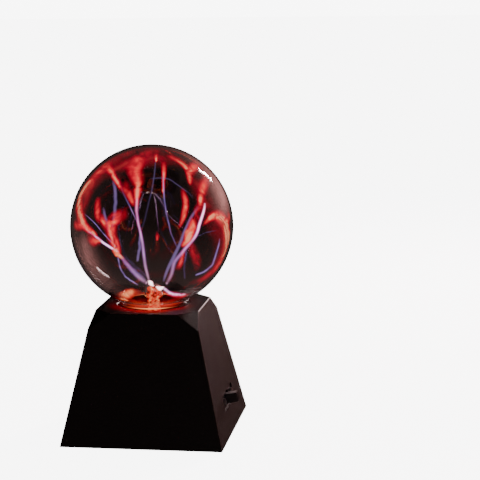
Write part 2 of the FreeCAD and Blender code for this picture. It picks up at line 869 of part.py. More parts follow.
def axial_part(name, radius, x, y):
    """A cylindrical component lying along Y on two wires that turn down into the board."""
    height = f"{BOARD_TOP} + axial_lift"
    start = f"{y} - axial_span / 2"
    body = bar(f"{name}_body", radius, "axial_length", (x, f"{y} - axial_length / 2", height), "+Y")
    wire = bar(f"{name}_wire", "axial_wire", "axial_span", (x, start, height), "+Y")
    reach = "(axial_span / 2 - 1.5 * axial_wire)"
    ends = [
        rod(f"{name}_end", "axial_wire", BOARD_TOP, height, x, f"{y} + {side} * {reach}")
        for side in (-1, 1)
    ]
    return fuse(name, body, wire, *ends)


def usb_socket_shell():
    """The inlet's folded metal shell, closed at its inner end and open through the wall."""
    outside = block(
        "inlet_outside",
        centred("inlet_width"),
        ("inlet_front", "inlet_mouth"),
        (INLET_LOW, f"{INLET_LOW} + inlet_height"),
    )
    inside = block(
        "inlet_inside",
        centred("inlet_width - 2 * inlet_metal"),
        ("inlet_front + inlet_metal", "inlet_mouth + 1"),
        (f"{INLET_LOW} + inlet_metal", f"{INLET_LOW} + inlet_height - inlet_metal"),
    )
    return cut("inlet_shell", outside, inside)


def usb_socket_insert():
    """The plastic block at the back of the inlet and the contact tongue in its mouth."""
    back = block(
        "insert_back",
        centred("inlet_width - 2 * inlet_metal"),
        ("inlet_front + inlet_metal", "inlet_front + inlet_metal + insert_depth"),
        (f"{INLET_LOW} + inlet_metal", f"{INLET_LOW} + inlet_height - inlet_metal"),
    )
    tongue = block(
        "insert_tongue",
        centred("tongue_width"),
        ("inlet_front + inlet_metal", "inlet_mouth - tongue_short"),
        (f"{INLET_MIDDLE} - tongue_thickness / 2", f"{INLET_MIDDLE} + tongue_thickness / 2"),
    )
    return fuse("inlet_insert", back, tongue)


def switch_frame():
    """The switch's steel plate, clamped behind the wall by two screws."""
    plate = block(
        "frame_plate",
        ("-shell_wall - frame_thickness", "-shell_wall"),
        centred("frame_length"),
        centred("frame_height"),
    )
    window = block(
        "frame_window",
        ("-shell_wall - 1", "0"),
        centred("slider_stem + knob_travel + 2 * knob_gap"),
        centred("slider_stem + 2 * knob_gap"),
    )
    holes = [
        bar(
            "frame_hole",
            "small_screw_shank + thread_gap",
            "shell_wall + 2",
            ("0", f"{side} * screw_spacing / 2", "0"),
            "-X",
        )
        for side in (-1, 1)
    ]
    return on_switch_wall(cut("frame", plate, window, *holes))


def switch_case():
    """The moulded case behind the plate, hollow where the contact slides."""
    face = "-shell_wall - frame_thickness"
    outside = block(
        "case_outside", (f"{face} - case_depth", face), centred("case_length"), centred("frame_height")
    )
    inside = block(
        "case_inside",
        (f"{face} - case_depth + case_floor", "0"),
        centred("contact_length + knob_travel + 2 * knob_gap"),
        centred("contact_height + 2 * knob_gap"),
    )
    return on_switch_wall(cut("case", outside, inside))


TERMINAL_FACE = "(-shell_wall - frame_thickness - case_depth)"


def switch_terminals():
    """Three flat pins out of the back of the case."""
    pins = [
        block(
            "pin",
            (f"{TERMINAL_FACE} - terminal_length", TERMINAL_FACE),
            (
                f"{step} * terminal_pitch - terminal_width / 2",
                f"{step} * terminal_pitch + terminal_width / 2",
            ),
            centred("terminal_thickness"),
        )
        for step in (-1, 0, 1)
    ]
    return on_switch_wall(group("pins", pins))


def switch_screws():
    screws = [
        screw(
            f"switch_screw_{number}",
            "small_screw",
            "switch_screw_length",
            ("-recess_depth", f"{side} * screw_spacing / 2", "0"),
            "-X",
        )
        for number, side in enumerate((-1, 1))
    ]
    return on_switch_wall(group("switch_screw_pair", screws))


def switch_knob():
    """The knob, at the end of its travel towards the front, and its stem through the plate."""
    at_rest = "-knob_travel / 2"
    low = "-shell_wall + knob_lift"
    half = "knob_length / 2"
    sides = (f"{at_rest} - {half}", f"{at_rest} + {half}")
    points = [(low, sides[0]), ("knob_proud", sides[0]), ("knob_proud", sides[1]), (low, sides[1])]
    body = padded("knob", "XY_Plane", points, "knob_height")
    body.Tip.Midplane = True
    doc.recompute()
    outer = value("knob_proud") - 0.01
    round_edges(body, "knob_rounded", "knob_round", lambda edge: edge.BoundBox.XMax > outer)
    grooves = [
        bar(
            "knob_groove",
            "knob_groove",
            "knob_height + 2",
            ("knob_proud", f"{at_rest} + {step} * knob_length / 4", "-knob_height / 2 - 1"),
            "+Z",
        )
        for step in (-1, 0, 1)
    ]
    stem = block(
        "knob_stem",
        (f"{low} - slider_stem_length", low),
        (f"{at_rest} - slider_stem / 2", f"{at_rest} + slider_stem / 2"),
        centred("slider_stem"),
    )
    return on_switch_wall(cut("grooved_knob", fuse("knob_blank", body, stem), *grooves))


def switch_contact():
    """The sprung contact carrier at the inner end of the knob's stem."""
    at_rest = "-knob_travel / 2"
    face = "-shell_wall + knob_lift - slider_stem_length"
    carrier = block(
        "carrier",
        (f"{face} - contact_depth", face),
        (f"{at_rest} - contact_length / 2", f"{at_rest} + contact_length / 2"),
        centred("contact_height"),
    )
    return on_switch_wall(group("carrier_in_place", [carrier]))


def switch_leads():
    """Two insulated wires from the switch's pins, turned down onto the board."""
    reach = f"({TERMINAL_FACE} - terminal_length)"
    start_x = f"({half_width('switch_height')} + {reach} * cos({LEAN}))"
    height = f"(switch_height + {reach} * sin({LEAN}))"
    bend_x = f"({start_x} - wire_bend - wire_reach)"
    wires = []
    for step in (-1, 0):
        y = f"switch_back + {step} * terminal_pitch"
        run = bar("wire_run", "wire_radius", f"({start_x} - {bend_x})", (start_x, y, height), "-X")
        drop = f"({height} - wire_bend)"
        elbow = doc.addObject("Part::Torus", "wire_elbow")
        elbow.setExpression("Radius1", linked("wire_bend"))
        elbow.setExpression("Radius2", linked("wire_radius"))
        elbow.Angle3 = 90
        place(elbow, (bend_x, y, drop), "+Y")
        towards_pins = FreeCAD.Vector(-1, 0, 0)
        upwards = FreeCAD.Vector(0, 0, 1)
        turn = FreeCAD.Rotation(towards_pins, upwards, FreeCAD.Vector(0, 1, 0))
        elbow.Placement = FreeCAD.Placement(elbow.Placement.Base, turn)
        foot = rod("wire_foot", "wire_radius", BOARD_TOP, drop, f"{bend_x} - wire_bend", y)
        wires.append(fuse("wire", run, elbow, foot))
    return group("wires", wires)


def build():
    node("base_shell", base_shell())
    node("bottom_cover", bottom_cover())
    feet = [rubber_foot(number, x, y) for number, (x, y) in enumerate(CORNERS)]
    node("rubber_feet", group("feet", feet))
    cover_screws = [
        screw(
            f"cover_screw_{number}",
            "cover_screw",
            "cover_screw_length",
            (f"{x} * post_offset", f"{y} * post_offset", HEAD_SEAT),
            "+Z",
        )
        for number, (x, y) in enumerate(CORNERS)
    ]
    node("cover_screws", group("cover_screw_set", cover_screws))
    node("glass_globe", glass_globe())
    node("electrode_stem", electrode_stem())
    node("electrode_wool", electrode_wool())
    node("globe_gasket", globe_gasket())
    node("globe_socket", globe_socket())
    node("globe_cushion", ring("cushion", "neck_radius", "socket_hole", CUP_FLOOR, "neck_low"))
    socket_screws = [
        screw(
            f"socket_screw_{number}",
            "small_screw",
            "socket_screw_length",
            (f"{x} * boss_offset", f"{y} * boss_offset", f"{SOCKET_TOP} - socket_flange"),
            "+Z",
        )
        for number, (x, y) in enumerate(CORNERS)
    ]
    node("socket_screws", group("socket_screw_set", socket_screws))
    node("circuit_board", circuit_board())
    board_screws = [
        screw(f"board_screw_{number}", "small_screw", "board_screw_length", (*at, BOARD_TOP), "-Z")
        for number, at in enumerate(board_holes())
    ]
    node("board_screws", group("board_screw_set", board_screws))
    node("transformer_core", transformer_core())
    node("transformer_bobbin", transformer_bobbin())
    primary, secondary = windings()
    node("primary_winding", primary)
    node("secondary_winding", secondary)
    tab_top = f"{WINDOW_TOP} - bobbin_gap"
    node("high_voltage_lead", rod("hv_lead", "lead_radius", tab_top, "wool_low"))
    node("heatsink", heatsink())
    node("power_transistor", power_transistor())
    bolt_at = ("-sink_face + tab_thickness", "-sink_centre", sink_screw_height())
    node("heatsink_screw", screw("bolt", "sink_screw", "sink_screw_length", bolt_at, "-X"))
    node("electrolytic_capacitors", electrolytic_capacitors())
    node("film_capacitor", film_capacitor())
    resistors = [
        axial_part("resistor", "axial_radius", f"-axial_side + {step} * axial_pitch", "-axial_front")
        for step in range(2)
    ]
    node("resistors", group("resistor_set", resistors))
    node("diode", axial_part("rectifier", "diode_radius", "diode_side", "diode_back"))
    node("usb_socket_shell", usb_socket_shell())
    node("usb_socket_insert", usb_socket_insert())
    node("switch_frame", switch_frame())
    node("switch_case", switch_case())
    node("switch_terminals", switch_terminals())
    node("switch_screws", switch_screws())
    node("switch_knob", switch_knob())
    node("switch_contact", switch_contact())
    node("switch_leads", switch_leads())


def export():
    """Checks every object, then writes each sub-part to its own file."""
    doc.recompute()
    failed = [o.Label for o in doc.Objects if {"Invalid", "Error"} & set(o.State)]
    failed += [n for n, o in nodes.items() if o.Shape.isNull() or not o.Shape.isValid()]
    if failed:
        sys.exit(f"not built: {', '.join(failed)}")
    os.makedirs("parts", exist_ok=True)
    for name, item in nodes.items():
        item.Shape.exportStep(f"parts/{name}.step")
        print(f"{name}: {len(item.Shape.Solids)} solids, {item.Shape.Volume:.1f} mm3")


build()
export()
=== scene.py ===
import math

import bmesh
import bpy
import numpy as np
from mathutils import Matrix, Vector


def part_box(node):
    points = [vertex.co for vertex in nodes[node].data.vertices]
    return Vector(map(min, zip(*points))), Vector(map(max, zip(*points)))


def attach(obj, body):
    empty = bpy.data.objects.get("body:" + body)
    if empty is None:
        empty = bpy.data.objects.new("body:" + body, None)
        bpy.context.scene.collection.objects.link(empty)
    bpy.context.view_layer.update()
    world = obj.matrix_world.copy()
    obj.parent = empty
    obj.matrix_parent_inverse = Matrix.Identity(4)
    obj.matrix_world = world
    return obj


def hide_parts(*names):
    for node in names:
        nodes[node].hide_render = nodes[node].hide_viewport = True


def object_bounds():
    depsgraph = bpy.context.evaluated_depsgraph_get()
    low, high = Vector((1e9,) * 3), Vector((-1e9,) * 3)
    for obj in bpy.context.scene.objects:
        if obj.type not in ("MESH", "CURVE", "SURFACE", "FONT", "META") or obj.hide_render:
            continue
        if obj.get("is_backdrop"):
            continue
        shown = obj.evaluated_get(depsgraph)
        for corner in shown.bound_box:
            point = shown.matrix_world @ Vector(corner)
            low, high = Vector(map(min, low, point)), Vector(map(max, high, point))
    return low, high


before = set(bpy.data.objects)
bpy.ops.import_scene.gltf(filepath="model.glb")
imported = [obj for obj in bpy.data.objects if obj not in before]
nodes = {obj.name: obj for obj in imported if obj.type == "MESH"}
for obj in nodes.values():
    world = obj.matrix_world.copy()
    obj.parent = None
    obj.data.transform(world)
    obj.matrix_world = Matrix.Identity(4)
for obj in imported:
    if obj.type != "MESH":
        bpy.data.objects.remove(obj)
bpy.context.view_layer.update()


# ---------------------------------------------------------------- base shell and bottom cover
# The tapered housing and its floor: black ABS, injection moulded with a fine spark-eroded
# texture. The cover goes in from below and four screws hold it.
def node_group(name, inputs, outputs):
    """An empty shader group with these sockets, and its input and output nodes."""
    tree = bpy.data.node_groups.new(name, "ShaderNodeTree")
    for socket, kind, start in inputs:
        made = tree.interface.new_socket(socket, in_out="INPUT", socket_type="NodeSocket" + kind)
        made.default_value = start
    for socket, kind in outputs:
        tree.interface.new_socket(socket, in_out="OUTPUT", socket_type="NodeSocket" + kind)
    return tree, tree.nodes.new("NodeGroupInput"), tree.nodes.new("NodeGroupOutput")


def add(tree, kind, links=None, **settings):
    """A node of this kind, its properties set, and its inputs linked to sockets or given values."""
    made = tree.nodes.new("ShaderNode" + kind)
    for key, setting in settings.items():
        setattr(made, key, setting)
    for socket, source in (links or {}).items():
        if isinstance(source, bpy.types.NodeSocket):
            tree.links.new(source, made.inputs[socket])
        else:
            made.inputs[socket].default_value = source
    return made


def grain_group():
    """Fine noise that shifts a colour, a roughness and a bump together, as moulded and cast
    surfaces vary: each output is its plain value plus the noise times its spread."""
    tree, given, result = node_group(
        "surface_grain",
        [
            ("Colour", "Color", (0.5, 0.5, 0.5, 1)),
            ("Worn Colour", "Color", (0.5, 0.5, 0.5, 1)),
            ("Scale", "Float", 500.0),
            ("Roughness", "Float", 0.5),
            ("Spread", "Float", 0.1),
            ("Depth", "Float", 0.00005),
        ],
        [("Base Color", "Color"), ("Roughness", "Float"), ("Normal", "Vector")],
    )
    place = add(tree, "TexCoord").outputs["Object"]
    noise = add(
        tree, "TexNoise", {"Vector": place, "Scale": given.outputs["Scale"], "Detail": 4.0}
    ).outputs["Fac"]
    slow = add(tree, "TexNoise", {"Vector": place, "Scale": 60.0, "Detail": 3.0}).outputs["Fac"]
    colour = add(tree, "Mix", {"Factor": slow}, data_type="RGBA")
    tree.links.new(given.outputs["Colour"], colour.inputs[6])
    tree.links.new(given.outputs["Worn Colour"], colour.inputs[7])
    tree.links.new(colour.outputs[2], result.inputs["Base Color"])
    centred = add(tree, "Math", {0: slow, 1: 0.5}, operation="SUBTRACT").outputs[0]
    spread = add(
        tree,
        "Math",
        {0: centred, 1: given.outputs["Spread"], 2: given.outputs["Roughness"]},
        operation="MULTIPLY_ADD",
    ).outputs[0]
    tree.links.new(spread, result.inputs["Roughness"])
    bump = add(tree, "Bump", {"Height": noise, "Distance": given.outputs["Depth"]})
    tree.links.new(bump.outputs["Normal"], result.inputs["Normal"])
    return tree


def principled(name, **values):
    """A material whose Principled shader has these values; _ in a name stands for a space."""
    made = bpy.data.materials.new(name)
    made.use_nodes = True
    shader = made.node_tree.nodes["Principled BSDF"]
    for key, number in values.items():
        shader.inputs[key.replace("_", " ")].default_value = number
    return made, made.node_tree, shader


def grained(name, colour, worn, scale, roughness, spread, depth, **values):
    """A material of one colour with the shared grain."""
    made, tree, shader = principled(name, **values)
    grain = tree.nodes.new("ShaderNodeGroup")
    grain.node_tree = bpy.data.node_groups.get("surface_grain") or grain_group()
    grain.inputs["Colour"].default_value = (*colour, 1)
    grain.inputs["Worn Colour"].default_value = (*worn, 1)
    grain.inputs["Scale"].default_value = scale
    grain.inputs["Roughness"].default_value = roughness
    grain.inputs["Spread"].default_value = spread
    grain.inputs["Depth"].default_value = depth
    for output in grain.outputs:
        tree.links.new(output, shader.inputs[output.name])
    return made


def dress(made, *names):
    """Gives these CAD nodes one material."""
    for name in names:
        slots = nodes[name].material_slots
        if not slots:
            nodes[name].data.materials.append(made)
        for entry in slots:
            entry.material = made


black_abs = grained(
    "black_abs",
    (0.0045, 0.0036, 0.0036),
    (0.0065, 0.0054, 0.005),
    1400,
    0.42,
    0.12,
    0.0001,
    Coat_Weight=0.18,
    Coat_Roughness=0.16,
    Specular_IOR_Level=0.32,
)
dress(black_abs, "base_shell", "bottom_cover")

# ---------------------------------------------------------------- feet and globe gasket
# Four round feet set into the cover's recesses over its screws, and the ring the globe's neck
# sits in: black rubber, moulded, dull and a little dusty.
black_rubber = grained(
    "black_rubber", (0.012, 0.012, 0.012), (0.022, 0.021, 0.02), 1500, 0.75, 0.12, 0.00003
)
dress(black_rubber, "rubber_feet", "globe_gasket")

# ---------------------------------------------------------------- screws
# Cover, socket, board, heatsink and switch screws: bright zinc-plated steel, cross-recess pan
# heads.
zinc_steel = grained(
    "zinc_steel", (0.62, 0.62, 0.64), (0.5, 0.5, 0.5), 1800, 0.28, 0.12, 0.00001, Metallic=1.0
)
dress(
    zinc_steel, "cover_screws", "socket_screws", "board_screws", "heatsink_screw", "switch_screws"
)

# ---------------------------------------------------------------- globe socket and cushion
# The ring under the top that carries the globe: white nylon, moulded, screwed to the shell. A
# foam ring inside it takes up the slack.
white_nylon = grained(
    "white_nylon", (0.72, 0.71, 0.67), (0.66, 0.64, 0.59), 900, 0.5, 0.1, 0.00002
)
dress(white_nylon, "globe_socket")
foam = grained("foam", (0.1, 0.1, 0.105), (0.06, 0.06, 0.062), 2200, 0.95, 0.05, 0.0003)
dress(foam, "globe_cushion")

# ---------------------------------------------------------------- circuit board
# The driver's board on the cover's standoffs: glass-filled laminate under green solder mask, with
# its edges routed. Four screws hold it.
board_laminate = grained(
    "board_laminate", (0.03, 0.14, 0.05), (0.022, 0.11, 0.04), 1200, 0.42, 0.1, 0.00002
)
dress(board_laminate, "circuit_board")

# ---------------------------------------------------------------- step-up transformer
# Two ferrite core halves on a moulded bobbin, an enamelled copper primary and a taped
# secondary, with a silicone lead up to the electrode.
ferrite = grained("ferrite", (0.045, 0.043, 0.042), (0.03, 0.029, 0.028), 1600, 0.6, 0.1, 0.00004)
dress(ferrite, "transformer_core")
former_plastic = grained(
    "former_plastic", (0.02, 0.02, 0.021), (0.03, 0.03, 0.03), 1400, 0.5, 0.1, 0.00002
)
dress(former_plastic, "transformer_bobbin")
copper_winding = grained(
    "copper_winding", (0.75, 0.3, 0.12), (0.6, 0.2, 0.07), 3500, 0.3, 0.12, 0.0002, Metallic=1.0
)
dress(copper_winding, "primary_winding")
tape_winding = grained(
    "tape_winding", (0.75, 0.55, 0.08), (0.66, 0.46, 0.06), 700, 0.35, 0.1, 0.00003
)
dress(tape_winding, "secondary_winding")
silicone_lead = grained(
    "silicone_lead", (0.6, 0.59, 0.56), (0.52, 0.51, 0.48), 900, 0.5, 0.1, 0.00002
)
dress(silicone_lead, "high_voltage_lead")

# ---------------------------------------------------------------- board parts
# The heatsink with its transistor, the diode, capacitors and resistors, soldered to the board:
# anodised aluminium, moulded epoxy, printed sleeves and lacquer, all without lettering.
aluminium_sink = grained(
    "aluminium_sink", (0.62, 0.63, 0.65), (0.5, 0.5, 0.52), 2200, 0.4, 0.1, 0.00001, Metallic=1.0
)
dress(aluminium_sink, "heatsink")
package_black = grained(
    "package_black", (0.016, 0.016, 0.017), (0.024, 0.024, 0.024), 2600, 0.55, 0.1, 0.00002
)
dress(package_black, "power_transistor", "diode")
can_sleeve = grained(
    "can_sleeve", (0.012, 0.016, 0.035), (0.02, 0.024, 0.045), 600, 0.32, 0.08, 0.00001
)
dress(can_sleeve, "electrolytic_capacitors")
film_red = grained("film_red", (0.34, 0.04, 0.02), (0.28, 0.03, 0.016), 800, 0.3, 0.08, 0.00002)
dress(film_red, "film_capacitor")
resistor_tan = grained(
    "resistor_tan", (0.55, 0.4, 0.22), (0.46, 0.32, 0.17), 1300, 0.4, 0.1, 0.00002
)
dress(resistor_tan, "resistors")

# ---------------------------------------------------------------- power inlet
# The low-voltage inlet in the back wall: a folded nickel-plated shell round a black contact
# block.
inlet_metal = grained(
    "inlet_metal", (0.66, 0.65, 0.62), (0.52, 0.51, 0.48), 1500, 0.26, 0.12, 0.00001, Metallic=1.0
)
dress(inlet_metal, "usb_socket_shell")
inlet_insert = grained(
    "inlet_insert", (0.015, 0.015, 0.015), (0.024, 0.024, 0.024), 1500, 0.5, 0.1, 0.00002
)
dress(inlet_insert, "usb_socket_insert")

# ---------------------------------------------------------------- slide switch
# The switch on the right wall: a stamped steel frame over a moulded case, tinned terminals with
# red leads, and the black ribbed knob that slides and carries its contact.
switch_steel = grained(
    "switch_steel", (0.6, 0.6, 0.6), (0.46, 0.46, 0.46), 1700, 0.3, 0.12, 0.00001, Metallic=1.0
)
dress(switch_steel, "switch_frame")
switch_case = grained(
    "switch_case", (0.22, 0.11, 0.05), (0.17, 0.085, 0.04), 1500, 0.5, 0.1, 0.00002
)
dress(switch_case, "switch_case")
tinned_pins = grained(
    "tinned_pins", (0.72, 0.71, 0.68), (0.6, 0.59, 0.55), 1500, 0.3, 0.12, 0.00001, Metallic=1.0
)
dress(tinned_pins, "switch_terminals", "switch_contact")
knob_black = grained(
    "knob_black", (0.01, 0.0095, 0.0095), (0.015, 0.014, 0.0135), 2400, 0.3, 0.08, 0.00002
)
dress(knob_black, "switch_knob")
red_lead = grained("red_lead", (0.45, 0.012, 0.01), (0.36, 0.01, 0.008), 900, 0.4, 0.1, 0.00002)
dress(red_lead, "switch_leads")

# ---------------------------------------------------------------- glass globe
# The blown globe with its short neck drawn down into the collar: clear glass of one wall all
# over. Its neck sits in the gasket.
globe_low, globe_high = (np.array(corner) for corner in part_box("glass_globe"))
GLOBE_RADIUS = (globe_high[0] - globe_low[0]) / 2
GLASS_WALL = 0.0012
NECK_RADIUS = 0.0164
SHOULDER_ROUND = 0.003
MERGE_WITHIN = 1e-7
globe_centre = np.array([0, 0, globe_high[2] - GLOBE_RADIUS])


def grid_mesh(name, points, **attributes):
    """A closed smooth quad mesh over an array of points by row, column and coordinate, whose
    columns close on themselves, with one number per point for each attribute. Points that meet,
    as at a pole, are merged."""
    rows, columns = points.shape[:2]
    r, c = np.meshgrid(np.arange(rows - 1), np.arange(columns), indexing="ij")
    beside = (c + 1) % columns
    corners = [
        r * columns + c,
        (r + 1) * columns + c,
        (r + 1) * columns + beside,
        r * columns + beside,
    ]
    mesh = bpy.data.meshes.new(name)
    faces = np.stack(corners, axis=-1).reshape(-1, 4)
    mesh.from_pydata(points.reshape(-1, 3).tolist(), [], faces.tolist())
    for key, numbers in attributes.items():
        numbers = np.broadcast_to(numbers, (rows, columns)).astype(np.float32)
        mesh.attributes.new(key, "FLOAT", "POINT").data.foreach_set("value", numbers.ravel())
    sealed = bmesh.new()
    sealed.from_mesh(mesh)
    bmesh.ops.remove_doubles(sealed, verts=sealed.verts, dist=MERGE_WITHIN)
    bmesh.ops.recalc_face_normals(sealed, faces=sealed.faces)
    sealed.to_mesh(mesh)
    sealed.free()
    mesh.shade_smooth()
    return mesh


def turned(profile, around=192):
    """Points of a surface of revolution about Z: the profile's radius swept through every
    bearing at the profile's height."""
    bearing = np.linspace(0, 2 * math.pi, around, endpoint=False)
    radius, height = np.asarray(profile).T
    x = radius[:, None] * np.cos(bearing)
    y = radius[:, None] * np.sin(bearing)
    return np.stack([x, y, np.broadcast_to(height[:, None], x.shape)], axis=-1)


def globe_profile(radius, neck, blend, low):
    """Radius and height down a globe from its pole into its neck: a circle, then an outward
    fillet that touches the circle and the straight neck, then the neck."""
    reach = radius + blend
    drop = math.sqrt(reach**2 - (neck + blend) ** 2)
    turn = math.acos(drop / reach)
    bowl = np.linspace(0, math.pi - turn, 120)
    ball = np.stack([radius * np.sin(bowl), globe_centre[2] + radius * np.cos(bowl)], axis=-1)
    sweep = np.linspace(math.pi / 2 - turn, 0, 14)[1:]
    fillet = np.stack(
        [
            neck + blend - blend * np.cos(sweep),
            globe_centre[2] - drop + blend * np.sin(sweep),
        ],
        axis=-1,
    )
    return np.concatenate([ball, fillet, [[neck, low]]])


outer = globe_profile(GLOBE_RADIUS, NECK_RADIUS, SHOULDER_ROUND, globe_low[2])
inner = globe_profile(
    GLOBE_RADIUS - GLASS_WALL, NECK_RADIUS - GLASS_WALL, SHOULDER_ROUND + GLASS_WALL, globe_low[2]
)
globe = bpy.data.objects.new(
    "globe_glass", grid_mesh("globe_glass", turned(np.concatenate([outer, inner[::-1]])))
)
bpy.context.scene.collection.objects.link(globe)
clear_glass, _, _ = principled(
    "clear_glass",
    Base_Color=(1, 1, 1, 1),
    Roughness=0.0,
    IOR=1.47,
    Transmission_Weight=1.0,
)
globe.data.materials.append(clear_glass)
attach(globe, "lamp")
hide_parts("glass_globe")

# ---------------------------------------------------------------- electrode stem
# The tube that stands in the neck and carries the high voltage up into the globe: the same clear
# glass, closed at its round top and sealed to the neck at its bottom.
dress(clear_glass, "electrode_stem")

# ---------------------------------------------------------------- electrode foil
# The conductor packed into the stem's round end: crumpled metal wool, pushed in from below. It
# glows orange where the discharge leaves it.
wool_low, wool_high = (np.array(corner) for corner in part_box("electrode_wool"))
WOOL_RADIUS = 0.0035


def crumpled(radius, low, high, rows=90, columns=72):
    """A closed column whose radius is folded by several waves that turn with height."""
    share = np.linspace(0, 1, rows)[:, None]
    bearing = np.linspace(0, 2 * math.pi, columns, endpoint=False)[None, :]
    folds = (
        0.5 * np.sin(5 * bearing + 11 * share)
        + 0.3 * np.sin(9 * bearing - 31 * share)
        + 0.2 * np.sin(3 * bearing + 53 * share)
    )
    closed = np.sqrt(np.clip(1 - (2 * share - 1) ** 12, 0, 1))
    reach = radius * closed * (0.82 + 0.17 * folds)
    height = high - (high - low) * share + 0 * bearing
    return np.stack([reach * np.cos(bearing), reach * np.sin(bearing), height], axis=-1)


foil = bpy.data.objects.new(
    "electrode_foil", grid_mesh("electrode_foil", crumpled(WOOL_RADIUS, wool_low[2], wool_high[2]))
)
bpy.context.scene.collection.objects.link(foil)
metal_wool, tree, shader = principled(
    "metal_wool",
    Base_Color=(0.5, 0.3, 0.18, 1),
    Roughness=0.35,
    Metallic=0.9,
    Emission_Strength=1.15,
)
place = add(tree, "TexCoord").outputs["Object"]
flecks = add(tree, "TexNoise", {"Vector": place, "Scale": 620.0, "Detail": 3.0}).outputs["Fac"]
heat = add(tree, "ValToRGB", {"Fac": flecks})
stops = heat.color_ramp.elements
stops[0].position, stops[0].color = 0.36, (0.05, 0.0, 0.0, 1)
stops[1].position, stops[1].color = 0.7, (1, 0.55, 0.22, 1)
stops.new(0.47).color = (0.6, 0.006, 0.01, 1)
stops.new(0.57).color = (0.95, 0.07, 0.015, 1)
tree.links.new(heat.outputs["Color"], shader.inputs["Emission Color"])
bump = add(tree, "Bump", {"Height": flecks, "Distance": 0.0004})
tree.links.new(bump.outputs["Normal"], shader.inputs["Normal"])
foil.data.materials.append(metal_wool)
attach(foil, "lamp")
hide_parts("electrode_wool")

# ---------------------------------------------------------------- discharge threads
# The discharge itself is light in the gas: lilac threads that leave the electrode, turn violet
# and pink, and run out to the glass, with soft bundles behind them. Each is a closed tube.
WANDER = 0.004
TUBE_SHARE = 0.62
WALL_CLEAR = 0.0003
NECK_LENGTH = 0.02
FRONT_BEARING = math.radians(12.0)
FRONT_RISE = math.radians(9.5)
side_way = np.array([math.cos(FRONT_BEARING), math.sin(FRONT_BEARING), 0])
near_way = np.array(
    [
        math.sin(FRONT_BEARING) * math.cos(FRONT_RISE),
        -math.cos(FRONT_BEARING) * math.cos(FRONT_RISE),
        math.sin(FRONT_RISE),
    ]
)
up_way = np.cross(near_way, side_way)


def smooth_route(points, steps):
    """Points evenly spaced in parameter along a Catmull-Rom curve through the given points."""
    points = np.asarray(points, float)
    held = np.concatenate([[2 * points[0] - points[1]], points, [2 * points[-1] - points[-2]]])
    at = np.linspace(0, len(points) - 1, steps)
    knot = np.minimum(at.astype(int), len(points) - 2)
    t = (at - knot)[:, None]
    a, b, c, d = (held[knot + shift] for shift in range(4))
    return 0.5 * (
        2 * b + (c - a) * t + (2 * a - 5 * b + 4 * c - d) * t**2 + (3 * b - a - 3 * c + d) * t**3
    )


def sides_of(path):
    """Two unit directions across a path at each of its points."""
    along = np.gradient(path, axis=0)
    along /= np.linalg.norm(along, axis=1)[:, None]
    first = np.cross(along, near_way)
    first /= np.linalg.norm(first, axis=1)[:, None]
    return first, np.cross(along, first)


def pointed(share, length):
    """A width that rises from nothing as a square root over this share of both ends."""
    return np.sqrt(np.clip(np.minimum(share, 1 - share) / length, 0, 1))


def light_mesh(name, points, look, **attributes):
    """A grid mesh of light, which rides on the lamp and casts no shadow."""
    mesh = grid_mesh(name, points, **attributes)
    mesh.materials.append(look)
    made = bpy.data.objects.new(name, mesh)
    bpy.context.scene.collection.objects.link(made)
    made.visible_shadow = False
    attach(made, "lamp")


def glow_tube(name, route, widths, look, seed, ends=(0.08, 0.18), halo=1.0):
    """A tube of light along a route given as side, up and near shares of the globe's radius. Its
    radius follows the widths, in millimetres, times TUBE_SHARE and halo, and the route wanders
    slowly by about WANDER. Points above the neck are drawn in to stay clear of the glass. The
    attributes along and fade say how far along a point is and how strong."""
    steps, around = 110, 18
    rng = np.random.default_rng(seed)
    share = np.linspace(0, 1, steps)
    waves = sum(
        np.sin(2 * math.pi * (k * share[:, None] * 1.3 + rng.random(3))) / k for k in range(1, 6)
    )
    path = smooth_route(route, steps) + WANDER * waves * np.sin(math.pi * share)[:, None]
    path = globe_centre + GLOBE_RADIUS * path @ np.stack([side_way, up_way, near_way])
    first, second = sides_of(path)
    width = TUBE_SHARE * halo * np.interp(share, np.linspace(0, 1, len(widths)), widths) / 1000
    width *= pointed(share, 0.02)
    bearing = np.linspace(0, 2 * math.pi, around, endpoint=False)
    points = path[:, None, :] + width[:, None, None] * (
        np.cos(bearing)[None, :, None] * first[:, None, :]
        + np.sin(bearing)[None, :, None] * second[:, None, :]
    )
    away = points - globe_centre
    reach = np.linalg.norm(away, axis=-1, keepdims=True)
    limit = GLOBE_RADIUS - GLASS_WALL - WALL_CLEAR
    in_neck = points[..., 2:] < globe_low[2] + NECK_LENGTH
    inside = np.where(in_neck, 1.0, np.minimum(1, limit / reach))
    points = globe_centre + away * inside
    ends = np.clip(share / ends[0], 0, 1) * np.clip((1 - share) / ends[1], 0, 1)
    light_mesh(name, points, look, along=share[:, None], fade=ends[:, None])


def maths(tree, operation, *values, clamp=False):
    """A Math node's output."""
    return add(
        tree, "Math", dict(enumerate(values)), operation=operation, use_clamp=clamp
    ).outputs[0]


def ramp_node(tree, factor, stops):
    """A colour ramp through these positions and colours."""
    made = add(tree, "ValToRGB", {"Fac": factor})
    elements = made.color_ramp.elements
    elements[0].position, elements[0].color = stops[0][0], (*stops[0][1], 1)
    elements[1].position, elements[1].color = stops[-1][0], (*stops[-1][1], 1)
    for at, colour in stops[1:-1]:
        elements.new(at).color = (*colour, 1)
    return made.outputs["Color"]


